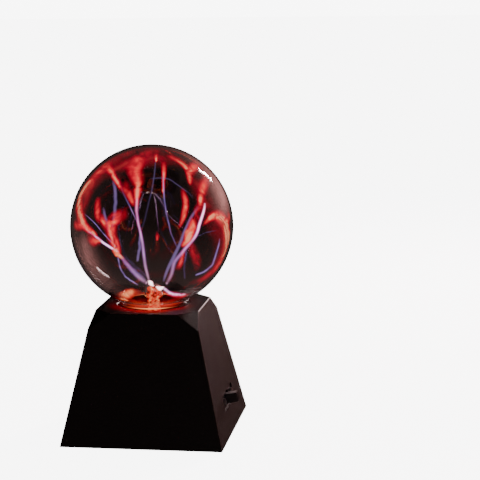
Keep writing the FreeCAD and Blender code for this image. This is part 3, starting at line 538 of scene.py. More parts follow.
def glow_profile_group():
    """How strong a tube of light is across its width: a bright core over a wide faint sheath, from
    how squarely the surface faces the eye."""
    tree, given, result = node_group(
        "glow_profile",
        [
            ("Facing", "Float", 0.0),
            ("Fade", "Float", 1.0),
            ("Core", "Float", 1.0),
            ("Core Power", "Float", 20.0),
            ("Sheath", "Float", 0.3),
            ("Sheath Power", "Float", 3.0),
        ],
        [("Alpha", "Float"), ("Core Share", "Float")],
    )
    square = maths(tree, "SUBTRACT", 1.0, given.outputs["Facing"])
    core = maths(tree, "POWER", square, given.outputs["Core Power"])
    sheath = maths(tree, "POWER", square, given.outputs["Sheath Power"])
    wide = maths(tree, "MULTIPLY", sheath, given.outputs["Sheath"])
    both = maths(tree, "MULTIPLY_ADD", core, given.outputs["Core"], wide)
    faded = maths(tree, "MULTIPLY", both, given.outputs["Fade"], clamp=True)
    tree.links.new(faded, result.inputs["Alpha"])
    tree.links.new(core, result.inputs["Core Share"])
    return tree


def glow_material(name, ramp, core_colour, strength, **profile):
    """Light with no surface: colour from how far along the tube a point is, paler in the core."""
    made, tree, shader = principled(
        name,
        Base_Color=(0, 0, 0, 1),
        Roughness=1.0,
        Specular_IOR_Level=0.0,
        Emission_Strength=strength,
    )
    group = tree.nodes.new("ShaderNodeGroup")
    group.node_tree = bpy.data.node_groups.get("glow_profile") or glow_profile_group()
    for key, number in profile.items():
        group.inputs[key.replace("_", " ")].default_value = number
    tree.links.new(add(tree, "LayerWeight").outputs["Facing"], group.inputs["Facing"])
    fade = add(tree, "Attribute", attribute_name="fade").outputs["Fac"]
    tree.links.new(fade, group.inputs["Fade"])
    tree.links.new(group.outputs["Alpha"], shader.inputs["Alpha"])
    along = add(tree, "Attribute", attribute_name="along").outputs["Fac"]
    mix = add(tree, "Mix", data_type="RGBA")
    tree.links.new(group.outputs["Core Share"], mix.inputs[0])
    tree.links.new(ramp_node(tree, along, ramp), mix.inputs[6])
    mix.inputs[7].default_value = (*core_colour, 1)
    tree.links.new(mix.outputs[2], shader.inputs["Emission Color"])
    return made


bright_thread = glow_material(
    "bright_thread",
    [
        (0.0, (0.9, 0.4, 0.6)),
        (0.3, (0.62, 0.25, 0.75)),
        (0.65, (0.8, 0.15, 0.55)),
        (1.0, (1, 0.1, 0.15)),
    ],
    (1.0, 0.6, 0.9),
    3.2,
    Core=0.95,
    Core_Power=13.0,
    Sheath=0.1,
    Sheath_Power=3.0,
)
violet_thread = glow_material(
    "violet_thread",
    [(0.0, (0.45, 0.25, 0.75)), (0.7, (0.36, 0.2, 0.75)), (1.0, (0.7, 0.15, 0.3))],
    (0.55, 0.36, 0.9),
    0.85,
    Core=0.55,
    Core_Power=15.0,
    Sheath=0.08,
    Sheath_Power=3.0,
)
faint_thread = glow_material(
    "faint_thread",
    [(0.0, (0.4, 0.24, 0.7)), (0.7, (0.36, 0.2, 0.7)), (1.0, (0.5, 0.15, 0.3))],
    (0.5, 0.36, 0.8),
    0.28,
    Core=0.4,
    Core_Power=15.0,
    Sheath=0.08,
    Sheath_Power=3.0,
)
soft_bundle = glow_material(
    "soft_bundle",
    [(0.0, (0.6, 0.35, 0.75)), (0.5, (0.4, 0.25, 0.8)), (1.0, (0.5, 0.15, 0.5))],
    (0.5, 0.33, 0.8),
    0.62,
    Core=0.1,
    Core_Power=5.0,
    Sheath=0.3,
    Sheath_Power=2.6,
)

threads = {
    "centre": (
        [
            (-0.04, -0.72, 0.05), (-0.09, -0.48, 0.2), (-0.11, -0.27, 0.33), (-0.15, -0.04, 0.46),
            (-0.17, 0.12, 0.55), (-0.17, 0.26, 0.62), (-0.15, 0.5, 0.7),
        ],
        (0.9, 1.2, 1.2, 1.0, 1.1, 1.3, 1.5),
        bright_thread,
    ),
    "left_low": (
        [
            (-0.06, -0.71, 0.05), (-0.19, -0.6, 0.18), (-0.32, -0.44, 0.34), (-0.39, -0.34, 0.44),
            (-0.45, -0.28, 0.5),
        ],
        (1.4, 1.7, 1.3, 1.0, 0.7),
        bright_thread,
    ),
    "left_high": (
        [
            (-0.08, -0.62, 0.06), (-0.18, -0.51, 0.18), (-0.3, -0.4, 0.34), (-0.4, -0.31, 0.46),
        ],
        (0.9, 1.2, 0.8),
        violet_thread,
    ),
    "left_out": (
        [
            (-0.39, -0.31, 0.44), (-0.53, -0.22, 0.46), (-0.66, -0.11, 0.44), (-0.8, 0.0, 0.38),
            (-0.88, 0.1, 0.3),
        ],
        (1.0, 0.9, 0.9, 0.8),
        bright_thread,
    ),
    "left_thin": (
        [
            (-0.42, -0.26, 0.2), (-0.58, -0.09, 0.16), (-0.7, 0.06, 0.12), (-0.83, 0.18, 0.08),
        ],
        (0.6, 0.5),
        violet_thread,
    ),
    "crossing": (
        [
            (-0.53, 0.74, -0.1), (-0.45, 0.65, 0.1), (-0.35, 0.45, 0.3), (-0.26, 0.25, 0.42),
            (-0.17, 0.04, 0.46),
        ],
        (0.9, 0.8, 0.6),
        violet_thread,
    ),
    "right": (
        [
            (0.15, -0.73, 0.05), (0.22, -0.6, 0.16), (0.27, -0.43, 0.28), (0.38, -0.29, 0.4),
            (0.5, -0.15, 0.48), (0.56, 0.0, 0.52), (0.62, 0.17, 0.54), (0.63, 0.27, 0.55),
        ],
        (1.1, 1.5, 1.3, 1.2, 1.0),
        bright_thread,
    ),
    "right_back": (
        [
            (0.31, -0.29, -0.2), (0.23, -0.07, -0.32), (0.18, 0.16, -0.4), (0.16, 0.44, -0.46),
            (0.16, 0.7, -0.46),
        ],
        (0.7, 0.8, 0.7),
        violet_thread,
    ),
    "centre_back": (
        [
            (-0.13, -0.06, 0.3), (-0.06, 0.16, 0.2), (0.0, 0.4, 0.12), (0.05, 0.68, 0.1),
            (0.07, 0.86, 0.1),
        ],
        (0.8, 0.8, 0.6),
        faint_thread,
    ),
    "low_right": (
        [
            (0.38, -0.65, 0.3), (0.37, -0.5, 0.4), (0.4, -0.34, 0.5), (0.4, -0.27, 0.55),
        ],
        (0.7, 0.9),
        violet_thread,
    ),
    "rim_right": (
        [
            (0.5, -0.62, 0.1), (0.64, -0.56, 0.12), (0.74, -0.45, 0.14), (0.79, -0.3, 0.16),
            (0.82, -0.16, 0.18),
        ],
        (0.9, 1.0, 0.8),
        violet_thread,
    ),
    "far_right": (
        [
            (0.53, -0.14, 0.2), (0.65, -0.1, 0.24), (0.78, -0.07, 0.28),
        ],
        (0.5, 0.4),
        faint_thread,
    ),
    "low_left": (
        [
            (-0.43, -0.36, 0.0), (-0.39, -0.53, -0.04), (-0.3, -0.65, -0.08),
            (-0.18, -0.73, -0.08),
        ],
        (0.8, 0.8),
        violet_thread,
    ),
    "arc": (
        [
            (-0.02, 0.6, -0.5), (0.17, 0.6, -0.5), (0.3, 0.54, -0.5), (0.45, 0.43, -0.48),
            (0.54, 0.32, -0.44),
        ],
        (0.6, 0.6),
        faint_thread,
    ),
    "foot_right": (
        [
            (0.12, -0.76, 0.08), (0.2, -0.82, 0.12), (0.31, -0.85, 0.12), (0.4, -0.84, 0.1),
        ],
        (1.2, 1.3, 0.9),
        bright_thread,
    ),
}
for seed, (name, (route, widths, look)) in enumerate(threads.items()):
    glow_tube("thread_" + name, route, widths, look, seed, halo=1.5)

bundles = {
    "centre_low": (
        [
            (-0.19, -0.44, 0.0), (-0.16, -0.25, -0.04), (-0.14, -0.06, -0.06),
        ],
        (1.2, 1.5, 1.1),
    ),
    "left_sheet": (
        [
            (-0.1, -0.66, 0.02), (-0.24, -0.54, 0.14), (-0.38, -0.36, 0.26),
        ],
        (2.0, 2.6, 1.6),
    ),
    "right_sheet": (
        [
            (0.12, -0.7, 0.0), (0.18, -0.53, 0.04), (0.27, -0.35, 0.06), (0.33, -0.24, 0.08),
            (0.4, -0.07, 0.1), (0.5, 0.12, 0.12), (0.58, 0.24, 0.14),
        ],
        (1.1, 1.8, 1.6, 1.4, 1.4),
    ),
    "left_rise": (
        [
            (-0.48, -0.2, -0.1), (-0.55, 0.02, -0.16), (-0.6, 0.25, -0.22),
        ],
        (1.3, 1.6, 1.4),
    ),
    "left_back": (
        [
            (-0.5, -0.02, -0.3), (-0.46, 0.2, -0.4), (-0.45, 0.4, -0.46), (-0.48, 0.6, -0.44),
        ],
        (1.4, 1.8, 1.6),
    ),
}
for seed, (name, (route, widths)) in enumerate(bundles.items()):
    glow_tube("bundle_" + name, route, widths, soft_bundle, 40 + seed)

# ---------------------------------------------------------------- hot spots
# Where the discharge is densest, at the electrode and at the flares' roots: small closed blobs of
# orange and white light. The rings of orange and red light round the neck are painted light: they
# stand in for the wool's glow refracted in the glass at the foot of the neck.
# Used only by the neck's line ring: painted light for the wool's glow refracted in the glass lip.
painted_neck_glow = glow_material(
    "painted_neck_glow",
    [(0.0, (1, 0.03, 0.02)), (0.5, (1, 0.09, 0.02)), (1.0, (0.9, 0.02, 0.02))],
    (1, 0.42, 0.16),
    1.8,
    Core=0.6,
    Core_Power=4.0,
    Sheath=0.12,
    Sheath_Power=1.4,
)
red_glow = glow_material(
    "red_glow",
    [(0.0, (0.8, 0.01, 0.02)), (1.0, (1, 0.04, 0.02))],
    (1, 0.06, 0.03),
    1.2,
    Core=0.2,
    Core_Power=3.0,
    Sheath=0.25,
    Sheath_Power=1.4,
)
ember = glow_material(
    "ember",
    [(0.0, (1, 0.02, 0.02)), (1.0, (1, 0.04, 0.02))],
    (1, 0.4, 0.14),
    1.9,
    Core=0.75,
    Core_Power=5.0,
    Sheath=0.06,
    Sheath_Power=1.2,
)
white_heat = glow_material(
    "white_heat",
    [(0.0, (1, 0.35, 0.35)), (1.0, (1, 0.4, 0.5))],
    (1, 0.85, 0.8),
    5.0,
    Core=0.9,
    Core_Power=3.0,
    Sheath=0.2,
    Sheath_Power=1.2,
)

glows = {
    "foot_left": (
        [
            (-0.22, -0.77, 0.3), (-0.32, -0.81, 0.28), (-0.42, -0.83, 0.24),
        ],
        (3.0, 4.4, 3.0),
        ember,
    ),
    "foot_left_wide": (
        [
            (-0.14, -0.79, 0.2), (-0.28, -0.81, 0.24), (-0.46, -0.84, 0.2),
        ],
        (2.0, 3.6, 3.0),
        red_glow,
    ),
    "hot_centre": (
        [
            (-0.16, 0.38, 0.72), (-0.15, 0.5, 0.7), (-0.15, 0.62, 0.66),
        ],
        (0.6, 3.0, 0.6),
        ember,
    ),
    "hot_upper_left": (
        [
            (-0.48, 0.66, 0.3), (-0.53, 0.73, 0.2), (-0.58, 0.76, 0.1),
        ],
        (0.6, 3.0, 0.6),
        ember,
    ),
    "hot_left": (
        [
            (-0.48, -0.27, 0.5), (-0.41, -0.33, 0.5), (-0.33, -0.39, 0.46),
        ],
        (1.0, 2.6, 1.0),
        ember,
    ),
    "hot_right": (
        [
            (0.38, -0.18, 0.6), (0.42, -0.1, 0.6), (0.47, 0.0, 0.6),
        ],
        (0.6, 3.0, 0.6),
        ember,
    ),
    "knot_left": (
        [
            (-0.07, -0.66, 0.06), (-0.03, -0.7, 0.06), (0.01, -0.74, 0.06),
        ],
        (0.2, 2.0, 0.2),
        white_heat,
    ),
    "knot_right": (
        [
            (0.02, -0.74, 0.08), (0.08, -0.76, 0.08), (0.14, -0.75, 0.08),
        ],
        (0.2, 1.9, 0.2),
        white_heat,
    ),
}
for seed, (name, (route, widths, look)) in enumerate(glows.items()):
    glow_tube("glow_" + name, route, widths, look, 60 + seed, ends=(0.45, 0.45))


def ring_light(name, radius, height, thickness, look, seed):
    """A ring of light about Z, thick and thin by slow waves round it."""
    steps, around = 160, 12
    rng = np.random.default_rng(seed)
    bearing = np.linspace(0, 2 * math.pi, steps)[:, None]
    turn = np.linspace(0, 2 * math.pi, around, endpoint=False)[None, :]
    waves = sum(np.sin(k * bearing + 6.3 * rng.random()) / k for k in range(1, 6))
    thick = thickness * (0.8 + 0.3 * waves)
    reach = radius + thick * np.cos(turn)
    points = np.stack(
        [reach * np.cos(bearing), reach * np.sin(bearing), height + thick * np.sin(turn)], axis=-1
    )
    fade = np.clip(0.75 + 0.35 * waves, 0.15, 1)
    light_mesh(name, points, look, along=0.5 + 0.3 * np.sin(2 * bearing), fade=fade)


NECK_BORE = NECK_RADIUS - GLASS_WALL
gasket_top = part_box("globe_gasket")[1].z
# Painted light: two rings inside the neck just above the gasket stand in for the wool's orange glow
# refracted in the glass lip, a bright line over a red haze.
ring_light("painted_neck_line", NECK_BORE - 0.0006, gasket_top + 0.0009, 0.0005, painted_neck_glow, 7)
ring_light("painted_neck_haze", NECK_BORE - 0.0030, gasket_top + 0.0022, 0.0016, red_glow, 8)

# ---------------------------------------------------------------- flares on the glass
# Where a thread meets the glass it spreads into a red flare with an orange root, over a fainter
# haze. Each is a thin closed lens just inside the wall.
FLARE_RADIUS = 0.961
FLARE_THICKNESS = 0.004
FLARE_SPREAD = 1.75
FLARE_RISE = 0.12
FLARE_TAIL = 0.45
RIM_SHARE = 0.985


def wall_flare(name, route, widths, look, side, strength):
    """A flare spread over the inside of the glass: a flat lens in section, carried along a route
    of side and up shares on the front or back of a sphere just inside the wall. Its half width
    follows the widths, in millimetres, times FLARE_SPREAD. The attribute across runs from -1 to 1
    between its edges, and fade is its strength along it."""
    steps, around = 90, 28
    share = np.linspace(0, 1, steps)
    flat = smooth_route(np.asarray(route, float), steps)
    reach = np.linalg.norm(flat, axis=1, keepdims=True)
    flat = flat * np.minimum(1, RIM_SHARE * FLARE_RADIUS / reach)
    depth = side * np.sqrt(FLARE_RADIUS**2 - (flat**2).sum(axis=1, keepdims=True))
    path = np.concatenate([flat, depth], axis=1) @ np.stack([side_way, up_way, near_way])
    along = np.gradient(path, axis=0)
    over = np.cross(along, path)
    over /= np.linalg.norm(over, axis=1)[:, None]
    spread = FLARE_SPREAD * np.interp(share, np.linspace(0, 1, len(widths)), widths)
    width = spread / 1000 / GLOBE_RADIUS
    turn = np.linspace(0, 2 * math.pi, around, endpoint=False)
    shape = pointed(share, 0.05)[:, None]
    offset = (shape * width[:, None] * np.cos(turn)[None, :])[..., None]
    points = path[:, None, :] + offset * over[:, None, :]
    depth = FLARE_RADIUS + FLARE_THICKNESS * shape * np.sin(turn)[None, :]
    points *= depth[..., None] / np.linalg.norm(points, axis=-1, keepdims=True)
    points = globe_centre + GLOBE_RADIUS * points
    ends = strength * np.clip(share / FLARE_RISE, 0, 1) * np.clip((1 - share) / FLARE_TAIL, 0, 1)
    light_mesh(
        name,
        points,
        look,
        along=share[:, None],
        across=np.cos(turn)[None, :],
        fade=ends[:, None],
    )


def flare_profile_group():
    """How strong a flare is at a point: full along its middle line, nothing at its edges, and
    torn into streaks by noise; the hottest parts are the middle of its first half."""
    tree, given, result = node_group(
        "flare_profile",
        [
            ("Across", "Float", 0.0),
            ("Along", "Float", 0.0),
            ("Fade", "Float", 1.0),
            ("Strength", "Float", 1.0),
        ],
        [("Alpha", "Float"), ("Heat", "Float")],
    )
    squared = maths(tree, "MULTIPLY", given.outputs["Across"], given.outputs["Across"])
    inside = maths(tree, "SUBTRACT", 1.0, squared)
    body = maths(tree, "POWER", inside, 2.2)
    spine = maths(tree, "POWER", inside, 6.0)
    place = add(tree, "TexCoord").outputs["Object"]
    noise = add(
        tree, "TexNoise", {"Vector": place, "Scale": 110.0, "Detail": 6.0, "Distortion": 1.4}
    ).outputs["Fac"]
    uneven = maths(tree, "SUBTRACT", noise, 0.5)
    torn = maths(tree, "MULTIPLY_ADD", uneven, 3.2, 0.75, clamp=True)
    whole = maths(tree, "MULTIPLY", maths(tree, "MULTIPLY", body, torn), given.outputs["Fade"])
    alpha = maths(tree, "MULTIPLY", whole, given.outputs["Strength"], clamp=True)
    start = maths(tree, "SUBTRACT", 1.0, given.outputs["Along"])
    lit = maths(tree, "MULTIPLY", start, given.outputs["Fade"])
    hot = maths(tree, "MULTIPLY", maths(tree, "MULTIPLY", spine, lit), torn)
    dim = maths(tree, "MULTIPLY", alpha, 0.6)
    heat = maths(tree, "MULTIPLY_ADD", hot, 0.7, dim, clamp=True)
    tree.links.new(alpha, result.inputs["Alpha"])
    tree.links.new(heat, result.inputs["Heat"])
    return tree


def flare_material(name, ramp, strength, density):
    """Light with no surface, spread over the glass: colour from how hot a point is."""
    made, tree, shader = principled(
        name,
        Base_Color=(0, 0, 0, 1),
        Roughness=1.0,
        Specular_IOR_Level=0.0,
        Emission_Strength=strength,
    )
    group = tree.nodes.new("ShaderNodeGroup")
    group.node_tree = bpy.data.node_groups.get("flare_profile") or flare_profile_group()
    group.inputs["Strength"].default_value = density
    for key in ("Across", "Along", "Fade"):
        source = add(tree, "Attribute", attribute_name=key.lower()).outputs["Fac"]
        tree.links.new(source, group.inputs[key])
    tree.links.new(group.outputs["Alpha"], shader.inputs["Alpha"])
    tree.links.new(ramp_node(tree, group.outputs["Heat"], ramp), shader.inputs["Emission Color"])
    return made


red_flare = flare_material(
    "red_flare",
    [
        (0.0, (0.3, 0.0, 0.015)),
        (0.25, (0.6, 0.004, 0.025)),
        (0.5, (0.95, 0.02, 0.035)),
        (0.75, (1, 0.08, 0.045)),
        (1.0, (1, 0.3, 0.15)),
    ],
    1.5,
    0.6,
)
red_haze = flare_material(
    "red_haze",
    [(0.0, (0.5, 0.0, 0.02)), (0.5, (0.7, 0.01, 0.04)), (1.0, (0.9, 0.05, 0.06))],
    0.55,
    0.36,
)

FRONT, BACK = 1, -1
flares = {
    "top_centre": (
        [
            (-0.17, 0.2), (-0.16, 0.36), (-0.15, 0.5), (-0.17, 0.66), (-0.13, 0.79), (0.0, 0.87),
            (0.16, 0.9),
        ],
        (0.7, 1.5, 2.6, 3.2, 3.0, 2.4),
        FRONT,
        1.2,
    ),
    "top_left": (
        [
            (-0.15, 0.46), (-0.2, 0.64), (-0.27, 0.78), (-0.36, 0.84),
        ],
        (1.4, 2.6, 2.8),
        BACK,
        0.8,
    ),
    "crossing": (
        [
            (-0.19, 0.22), (-0.26, 0.38), (-0.33, 0.5), (-0.4, 0.6),
        ],
        (0.8, 2.0, 2.0),
        FRONT,
        0.8,
    ),
    "left_rim": (
        [
            (-0.66, -0.1), (-0.78, 0.02), (-0.83, 0.14), (-0.85, 0.3), (-0.81, 0.42),
            (-0.7, 0.55), (-0.56, 0.68), (-0.46, 0.76), (-0.32, 0.83),
        ],
        (1.0, 2.4, 3.0, 3.0, 3.2, 3.0),
        FRONT,
        1.8,
    ),
    "left_hot": (
        [
            (-0.32, 0.4), (-0.4, 0.54), (-0.5, 0.7), (-0.6, 0.7), (-0.7, 0.58),
        ],
        (0.7, 1.2, 2.2, 2.4),
        FRONT,
        1.2,
    ),
    "left_end": (
        [
            (-0.62, -0.12), (-0.76, 0.0), (-0.88, 0.03), (-0.93, 0.05),
        ],
        (0.8, 1.8, 2.2),
        FRONT,
        1.2,
    ),
    "left_blob": ([(-0.58, -0.16), (-0.68, -0.16), (-0.78, -0.1)], (1.0, 2.2, 2.0), FRONT, 0.9),
    "left_inner": (
        [
            (-0.39, -0.34), (-0.43, -0.22), (-0.47, -0.08), (-0.46, 0.04), (-0.38, 0.12),
            (-0.25, 0.16),
        ],
        (1.4, 2.0, 2.2, 2.4, 1.8),
        FRONT,
        2.5,
    ),
    "left_tongue": (
        [
            (-0.5, -0.08), (-0.56, 0.06), (-0.62, 0.14), (-0.62, 0.3), (-0.6, 0.36),
        ],
        (1.0, 1.8, 1.6, 1.0),
        FRONT,
        1.0,
    ),
    "right_lower": (
        [
            (0.33, -0.26), (0.4, -0.18), (0.45, -0.08), (0.5, 0.06), (0.56, 0.2), (0.64, 0.3),
        ],
        (1.0, 2.0, 2.0, 1.8, 1.4),
        FRONT,
        1.5,
    ),
    "right_upper": (
        [
            (0.56, 0.2), (0.58, 0.34), (0.62, 0.46), (0.66, 0.56), (0.64, 0.64),
        ],
        (1.0, 2.0, 2.2, 1.6),
        FRONT,
        1.3,
    ),
    "right_crown": (
        [
            (0.5, 0.5), (0.5, 0.64), (0.53, 0.72), (0.6, 0.74), (0.68, 0.66),
        ],
        (0.8, 2.2, 2.4, 1.6),
        BACK,
        1.2,
    ),
    "right_crown_left": (
        [
            (0.5, 0.6), (0.46, 0.72), (0.38, 0.8), (0.26, 0.87), (0.2, 0.9),
        ],
        (1.2, 2.0, 2.0, 1.4),
        BACK,
        1.3,
    ),
    "right_middle": (
        [
            (0.31, -0.04), (0.37, 0.1), (0.4, 0.24), (0.38, 0.36), (0.36, 0.44),
        ],
        (0.5, 1.3, 1.3, 0.8),
        FRONT,
        1.3,
    ),
    "right_rim": (
        [
            (0.58, -0.02), (0.68, 0.08), (0.76, 0.1), (0.86, 0.02), (0.9, -0.14), (0.9, -0.3),
            (0.83, -0.44), (0.73, -0.55), (0.58, -0.64), (0.4, -0.68),
        ],
        (0.7, 1.8, 3.0, 3.2, 2.8, 2.2, 1.4),
        FRONT,
        1.7,
    ),
    "right_rim_low": (
        [
            (0.83, 0.04), (0.87, -0.14), (0.86, -0.3), (0.79, -0.45), (0.68, -0.57),
            (0.52, -0.66),
        ],
        (1.2, 2.2, 2.4, 2.0, 1.2),
        FRONT,
        1.7,
    ),
    "right_rim_top": (
        [
            (0.8, 0.06), (0.88, 0.04), (0.93, 0.1), (0.92, 0.2),
        ],
        (1.6, 2.2, 1.6),
        FRONT,
        1.2,
    ),
    "right_drop": (
        [
            (0.4, -0.26), (0.47, -0.24), (0.53, -0.36), (0.57, -0.5), (0.56, -0.6),
        ],
        (1.2, 1.8, 2.0, 1.4),
        BACK,
        0.8,
    ),
    "right_spot": (
        [
            (0.4, -0.3), (0.38, -0.42), (0.34, -0.52), (0.3, -0.58),
        ],
        (0.9, 1.2, 1.4),
        BACK,
        0.9,
    ),
    "top_thread": (
        [
            (0.15, 0.4), (0.16, 0.56), (0.17, 0.72), (0.16, 0.88),
        ],
        (0.5, 0.9, 1.4),
        BACK,
        1.4,
    ),
    "top_short": ([(0.07, 0.74), (0.07, 0.82), (0.08, 0.9)], (0.5, 1.2), FRONT, 1.3),
    "middle_spark": ([(0.06, -0.2), (0.065, -0.14), (0.06, -0.06)], (0.4, 0.8, 0.3), BACK, 0.8),
    "foot_right": (
        [
            (0.14, -0.78), (0.24, -0.82), (0.36, -0.84), (0.46, -0.82),
        ],
        (1.0, 1.8, 1.4),
        FRONT,
        1.1,
    ),
}
for name, (route, widths, side, strength) in flares.items():
    wall_flare("flare_" + name, route, widths, red_flare, side, strength)

hazes = {
    "left_band": (
        [
            (-0.84, -0.02), (-0.83, 0.2), (-0.76, 0.42), (-0.62, 0.6), (-0.46, 0.72), (-0.3, 0.8),
        ],
        (3.0, 4.6, 5.0, 4.0),
        FRONT,
        2.4,
    ),
    "right_band": (
        [
            (0.74, 0.14), (0.85, 0.0), (0.87, -0.16), (0.84, -0.34), (0.74, -0.48), (0.6, -0.6),
        ],
        (3.0, 4.4, 4.6, 3.0),
        FRONT,
        2.4,
    ),
    "upper_left": (
        [
            (-0.9, 0.1), (-0.84, 0.4), (-0.62, 0.68), (-0.3, 0.87), (0.0, 0.92), (0.3, 0.87),
        ],
        (4.0, 6.0, 6.0, 5.0),
        FRONT,
        1.2,
    ),
    "top": (
        [
            (-0.6, 0.66), (-0.3, 0.8), (0.0, 0.86), (0.3, 0.84), (0.55, 0.72),
        ],
        (4.0, 6.0, 5.0),
        BACK,
        1.3,
    ),
    "right": (
        [
            (0.5, 0.7), (0.66, 0.4), (0.78, 0.1), (0.86, -0.2), (0.78, -0.5),
        ],
        (4.0, 6.0, 5.0),
        BACK,
        1.0,
    ),
}
for name, (route, widths, side, strength) in hazes.items():
    wall_flare("haze_" + name, route, widths, red_haze, side, strength)

# ---------------------------------------------------------------- red light on the base
# Painted light: the red of the neck's glow on the top of the shell in front of it is a flat closed
# ring of faint emitting light just above the plastic, brightest at the front.
painted_red_spill = flare_material(
    "painted_red_spill",
    [(0.0, (0.8, 0.0, 0.02)), (0.5, (0.9, 0.01, 0.02)), (1.0, (1.0, 0.05, 0.02))],
    0.75,
    0.5,
)

base_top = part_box("base_shell")[1].z
SPILL_NEAR = NECK_RADIUS + 0.0004
SPILL_REACH = 0.0072
SPILL_LIFT = 0.00015
SPILL_THICKNESS = 0.00005
bearing = np.linspace(0, 2 * math.pi, 120)[:, None]
turn = np.linspace(0, 2 * math.pi, 24, endpoint=False)[None, :]
outward = (1 + np.cos(turn)) / 2
reach = SPILL_NEAR + SPILL_REACH * outward
height = base_top + SPILL_LIFT + SPILL_THICKNESS * np.sin(turn) + 0 * bearing
# Painted red light on the top of the shell, strongest in front of the neck.
light_mesh(
    "painted_glow_on_top",
    np.stack([reach * np.cos(bearing), reach * np.sin(bearing), height], axis=-1),
    painted_red_spill,
    along=0.0,
    across=outward,
    fade=0.04 + 0.8 * np.clip(-np.sin(bearing), 0, 1) ** 2,
)

# ---------------------------------------------------------------- floor, light and camera
# A plain pale floor and backdrop, dark surroundings for the glass to show, a soft box behind to
# the right, a light for the shell's edges, a small lamp, and the camera.
FLOOR_HALF = 6
FLOOR_HEIGHT = -0.0002
FLOOR_GLOW = 7.2
BACKDROP = 8.0
floor_mesh = bpy.data.meshes.new("floor")
ways = [(-1, -1), (1, -1), (1, 1), (-1, 1)]
floor_mesh.from_pydata(
    [(FLOOR_HALF * x, FLOOR_HALF * y, FLOOR_HEIGHT) for x, y in ways], [], [(0, 1, 2, 3)]
)
floor = bpy.data.objects.new("floor", floor_mesh)
bpy.context.scene.collection.objects.link(floor)
floor_paint, tree, shader = principled(
    "floor_paint", Base_Color=(0.8, 0.8, 0.8, 1), Roughness=0.9, Emission_Color=(1, 1, 1, 1)
)
seen = add(tree, "LightPath").outputs["Is Camera Ray"]
tree.links.new(
    add(tree, "Math", {0: seen, 1: FLOOR_GLOW}, operation="MULTIPLY").outputs[0],
    shader.inputs["Emission Strength"],
)
floor.data.materials.append(floor_paint)
floor.visible_glossy = False
floor.visible_transmission = False
floor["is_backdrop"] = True

world = bpy.data.worlds.new("studio")
bpy.context.scene.world = world
world.use_nodes = True
tree = world.node_tree
path = add(tree, "LightPath")
background = tree.nodes["Background"]
seen = path.outputs["Is Camera Ray"]
ray = add(tree, "TexCoord").outputs["Generated"]


def lobe(direction, power):
    """How nearly a ray of the world runs in a direction given as side, up and near shares."""
    way = np.array(direction) @ np.stack([side_way, up_way, near_way])
    dot = add(tree, "VectorMath", {0: ray, 1: way / np.linalg.norm(way)}, operation="DOT_PRODUCT")
    return maths(tree, "POWER", maths(tree, "MAXIMUM", dot.outputs["Value"], 0.0), power)


def tinted(strength, colour):
    """A colour multiplied by a strength."""
    return add(
        tree, "VectorMath", {0: colour, "Scale": strength}, operation="SCALE"
    ).outputs["Vector"]


def plus(first, second):
    """The sum of two colours."""
    return add(tree, "VectorMath", {0: first, 1: second}, operation="ADD").outputs["Vector"]


unseen = maths(tree, "SUBTRACT", 1.0, seen)
through = path.outputs["Is Transmission Ray"]
mirrored = maths(tree, "SUBTRACT", path.outputs["Is Glossy Ray"], through, clamp=True)
spread = path.outputs["Is Diffuse Ray"]
lit = maths(tree, "MULTIPLY_ADD", spread, -0.8, unseen)
height = add(tree, "SeparateXYZ", {"Vector": ray}).outputs["Z"]
risen = maths(tree, "MULTIPLY_ADD", height, 5.0, 0.5, clamp=True)
window = maths(tree, "MULTIPLY", lobe((0.74, 0.24, -0.64), 14.0), risen)
window = maths(tree, "MULTIPLY", window, lit)
wall = tinted(window, (2.0, 0.78, 0.72))
low = maths(tree, "MULTIPLY", lobe((0, -0.95, 0.3), 2.0), mirrored)
room = tinted(low, (0.5, 0.3, 0.28))
sunk = maths(tree, "MULTIPLY", maths(tree, "SUBTRACT", 1.0, risen), mirrored)
behind = tinted(sunk, (0.016, 0.011, 0.01))
soft = tinted(spread, (0.3, 0.26, 0.26))
aside = maths(tree, "SUBTRACT", 1.0, lobe((0, 0, -1), 10.0))
bent = tinted(maths(tree, "MULTIPLY", aside, through), (0.09, 0.056, 0.052))
backdrop = tinted(seen, (BACKDROP,) * 3)
total = plus(plus(plus(wall, room), plus(behind, soft)), plus(bent, backdrop))
tree.links.new(total, background.inputs["Color"])


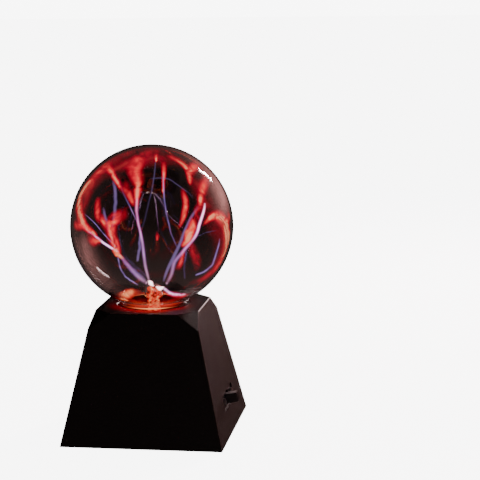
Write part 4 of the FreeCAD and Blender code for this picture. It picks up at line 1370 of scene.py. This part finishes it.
def area_light(name, towards, distance, size, power, colour):
    """A soft box at a direction given as side, up and near shares, aimed at the globe."""
    lamp = bpy.data.lights.new(name, "AREA")
    lamp.shape = "RECTANGLE"
    lamp.size, lamp.size_y = size
    lamp.energy = power
    lamp.color = colour
    way = np.array(towards) @ np.stack([side_way, up_way, near_way])
    way /= np.linalg.norm(way)
    made = bpy.data.objects.new(name, lamp)
    spot = Vector(globe_centre + way * distance)
    made.matrix_world = (
        Matrix.Translation(spot) @ Vector(way).to_track_quat("Z", "Y").to_matrix().to_4x4()
    )
    bpy.context.scene.collection.objects.link(made)
    made.visible_camera = False
    made.visible_transmission = name == "soft_box"
    made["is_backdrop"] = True
    return made


area_light("soft_box", (0.6, 0.55, -0.59), 0.6, (0.04, 0.13), 3.0, (1.0, 0.74, 0.74))
edge_light = area_light(
    "edge_light", (0.32, 0.18, -0.93), 1.0, (0.3, 0.2), 2.8, (1.0, 0.8, 0.78)
)
base_only = bpy.data.collections.new("edge_light_receivers")
base_only.objects.link(nodes["base_shell"])
edge_light.light_linking.receiver_collection = base_only
area_light("small_lamp", (0.36, 0.31, 0.88), 1.2, (0.012, 0.012), 0.08, (1.0, 0.5, 0.54))

camera = bpy.data.objects.new("camera", bpy.data.cameras.new("camera"))
bpy.context.scene.collection.objects.link(camera)
bpy.context.scene.camera = camera
camera.data.lens = 115.0
camera.data.sensor_width = 36.0
camera.data.clip_start = 0.01
VIEW_BEARING = math.radians(8.8)
VIEW_RISE = math.radians(10.1)
VIEW_ROLL = math.radians(-0.85)
VIEW_DISTANCE = 0.717
AIM_SIDE = 0.041
AIM_HEIGHT = 0.0904
back = Vector(
    (
        math.sin(VIEW_BEARING) * math.cos(VIEW_RISE),
        -math.cos(VIEW_BEARING) * math.cos(VIEW_RISE),
        math.sin(VIEW_RISE),
    )
)
right = Vector((math.cos(VIEW_BEARING), math.sin(VIEW_BEARING), 0))
above = back.cross(right)
rolled_right = right * math.cos(VIEW_ROLL) + above * math.sin(VIEW_ROLL)
rolled_up = above * math.cos(VIEW_ROLL) - right * math.sin(VIEW_ROLL)
turn = Matrix((rolled_right, rolled_up, back)).transposed().to_4x4()
aim = Vector((0, 0, AIM_HEIGHT)) + right * AIM_SIDE
camera.matrix_world = Matrix.Translation(aim + back * VIEW_DISTANCE) @ turn

low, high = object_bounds()
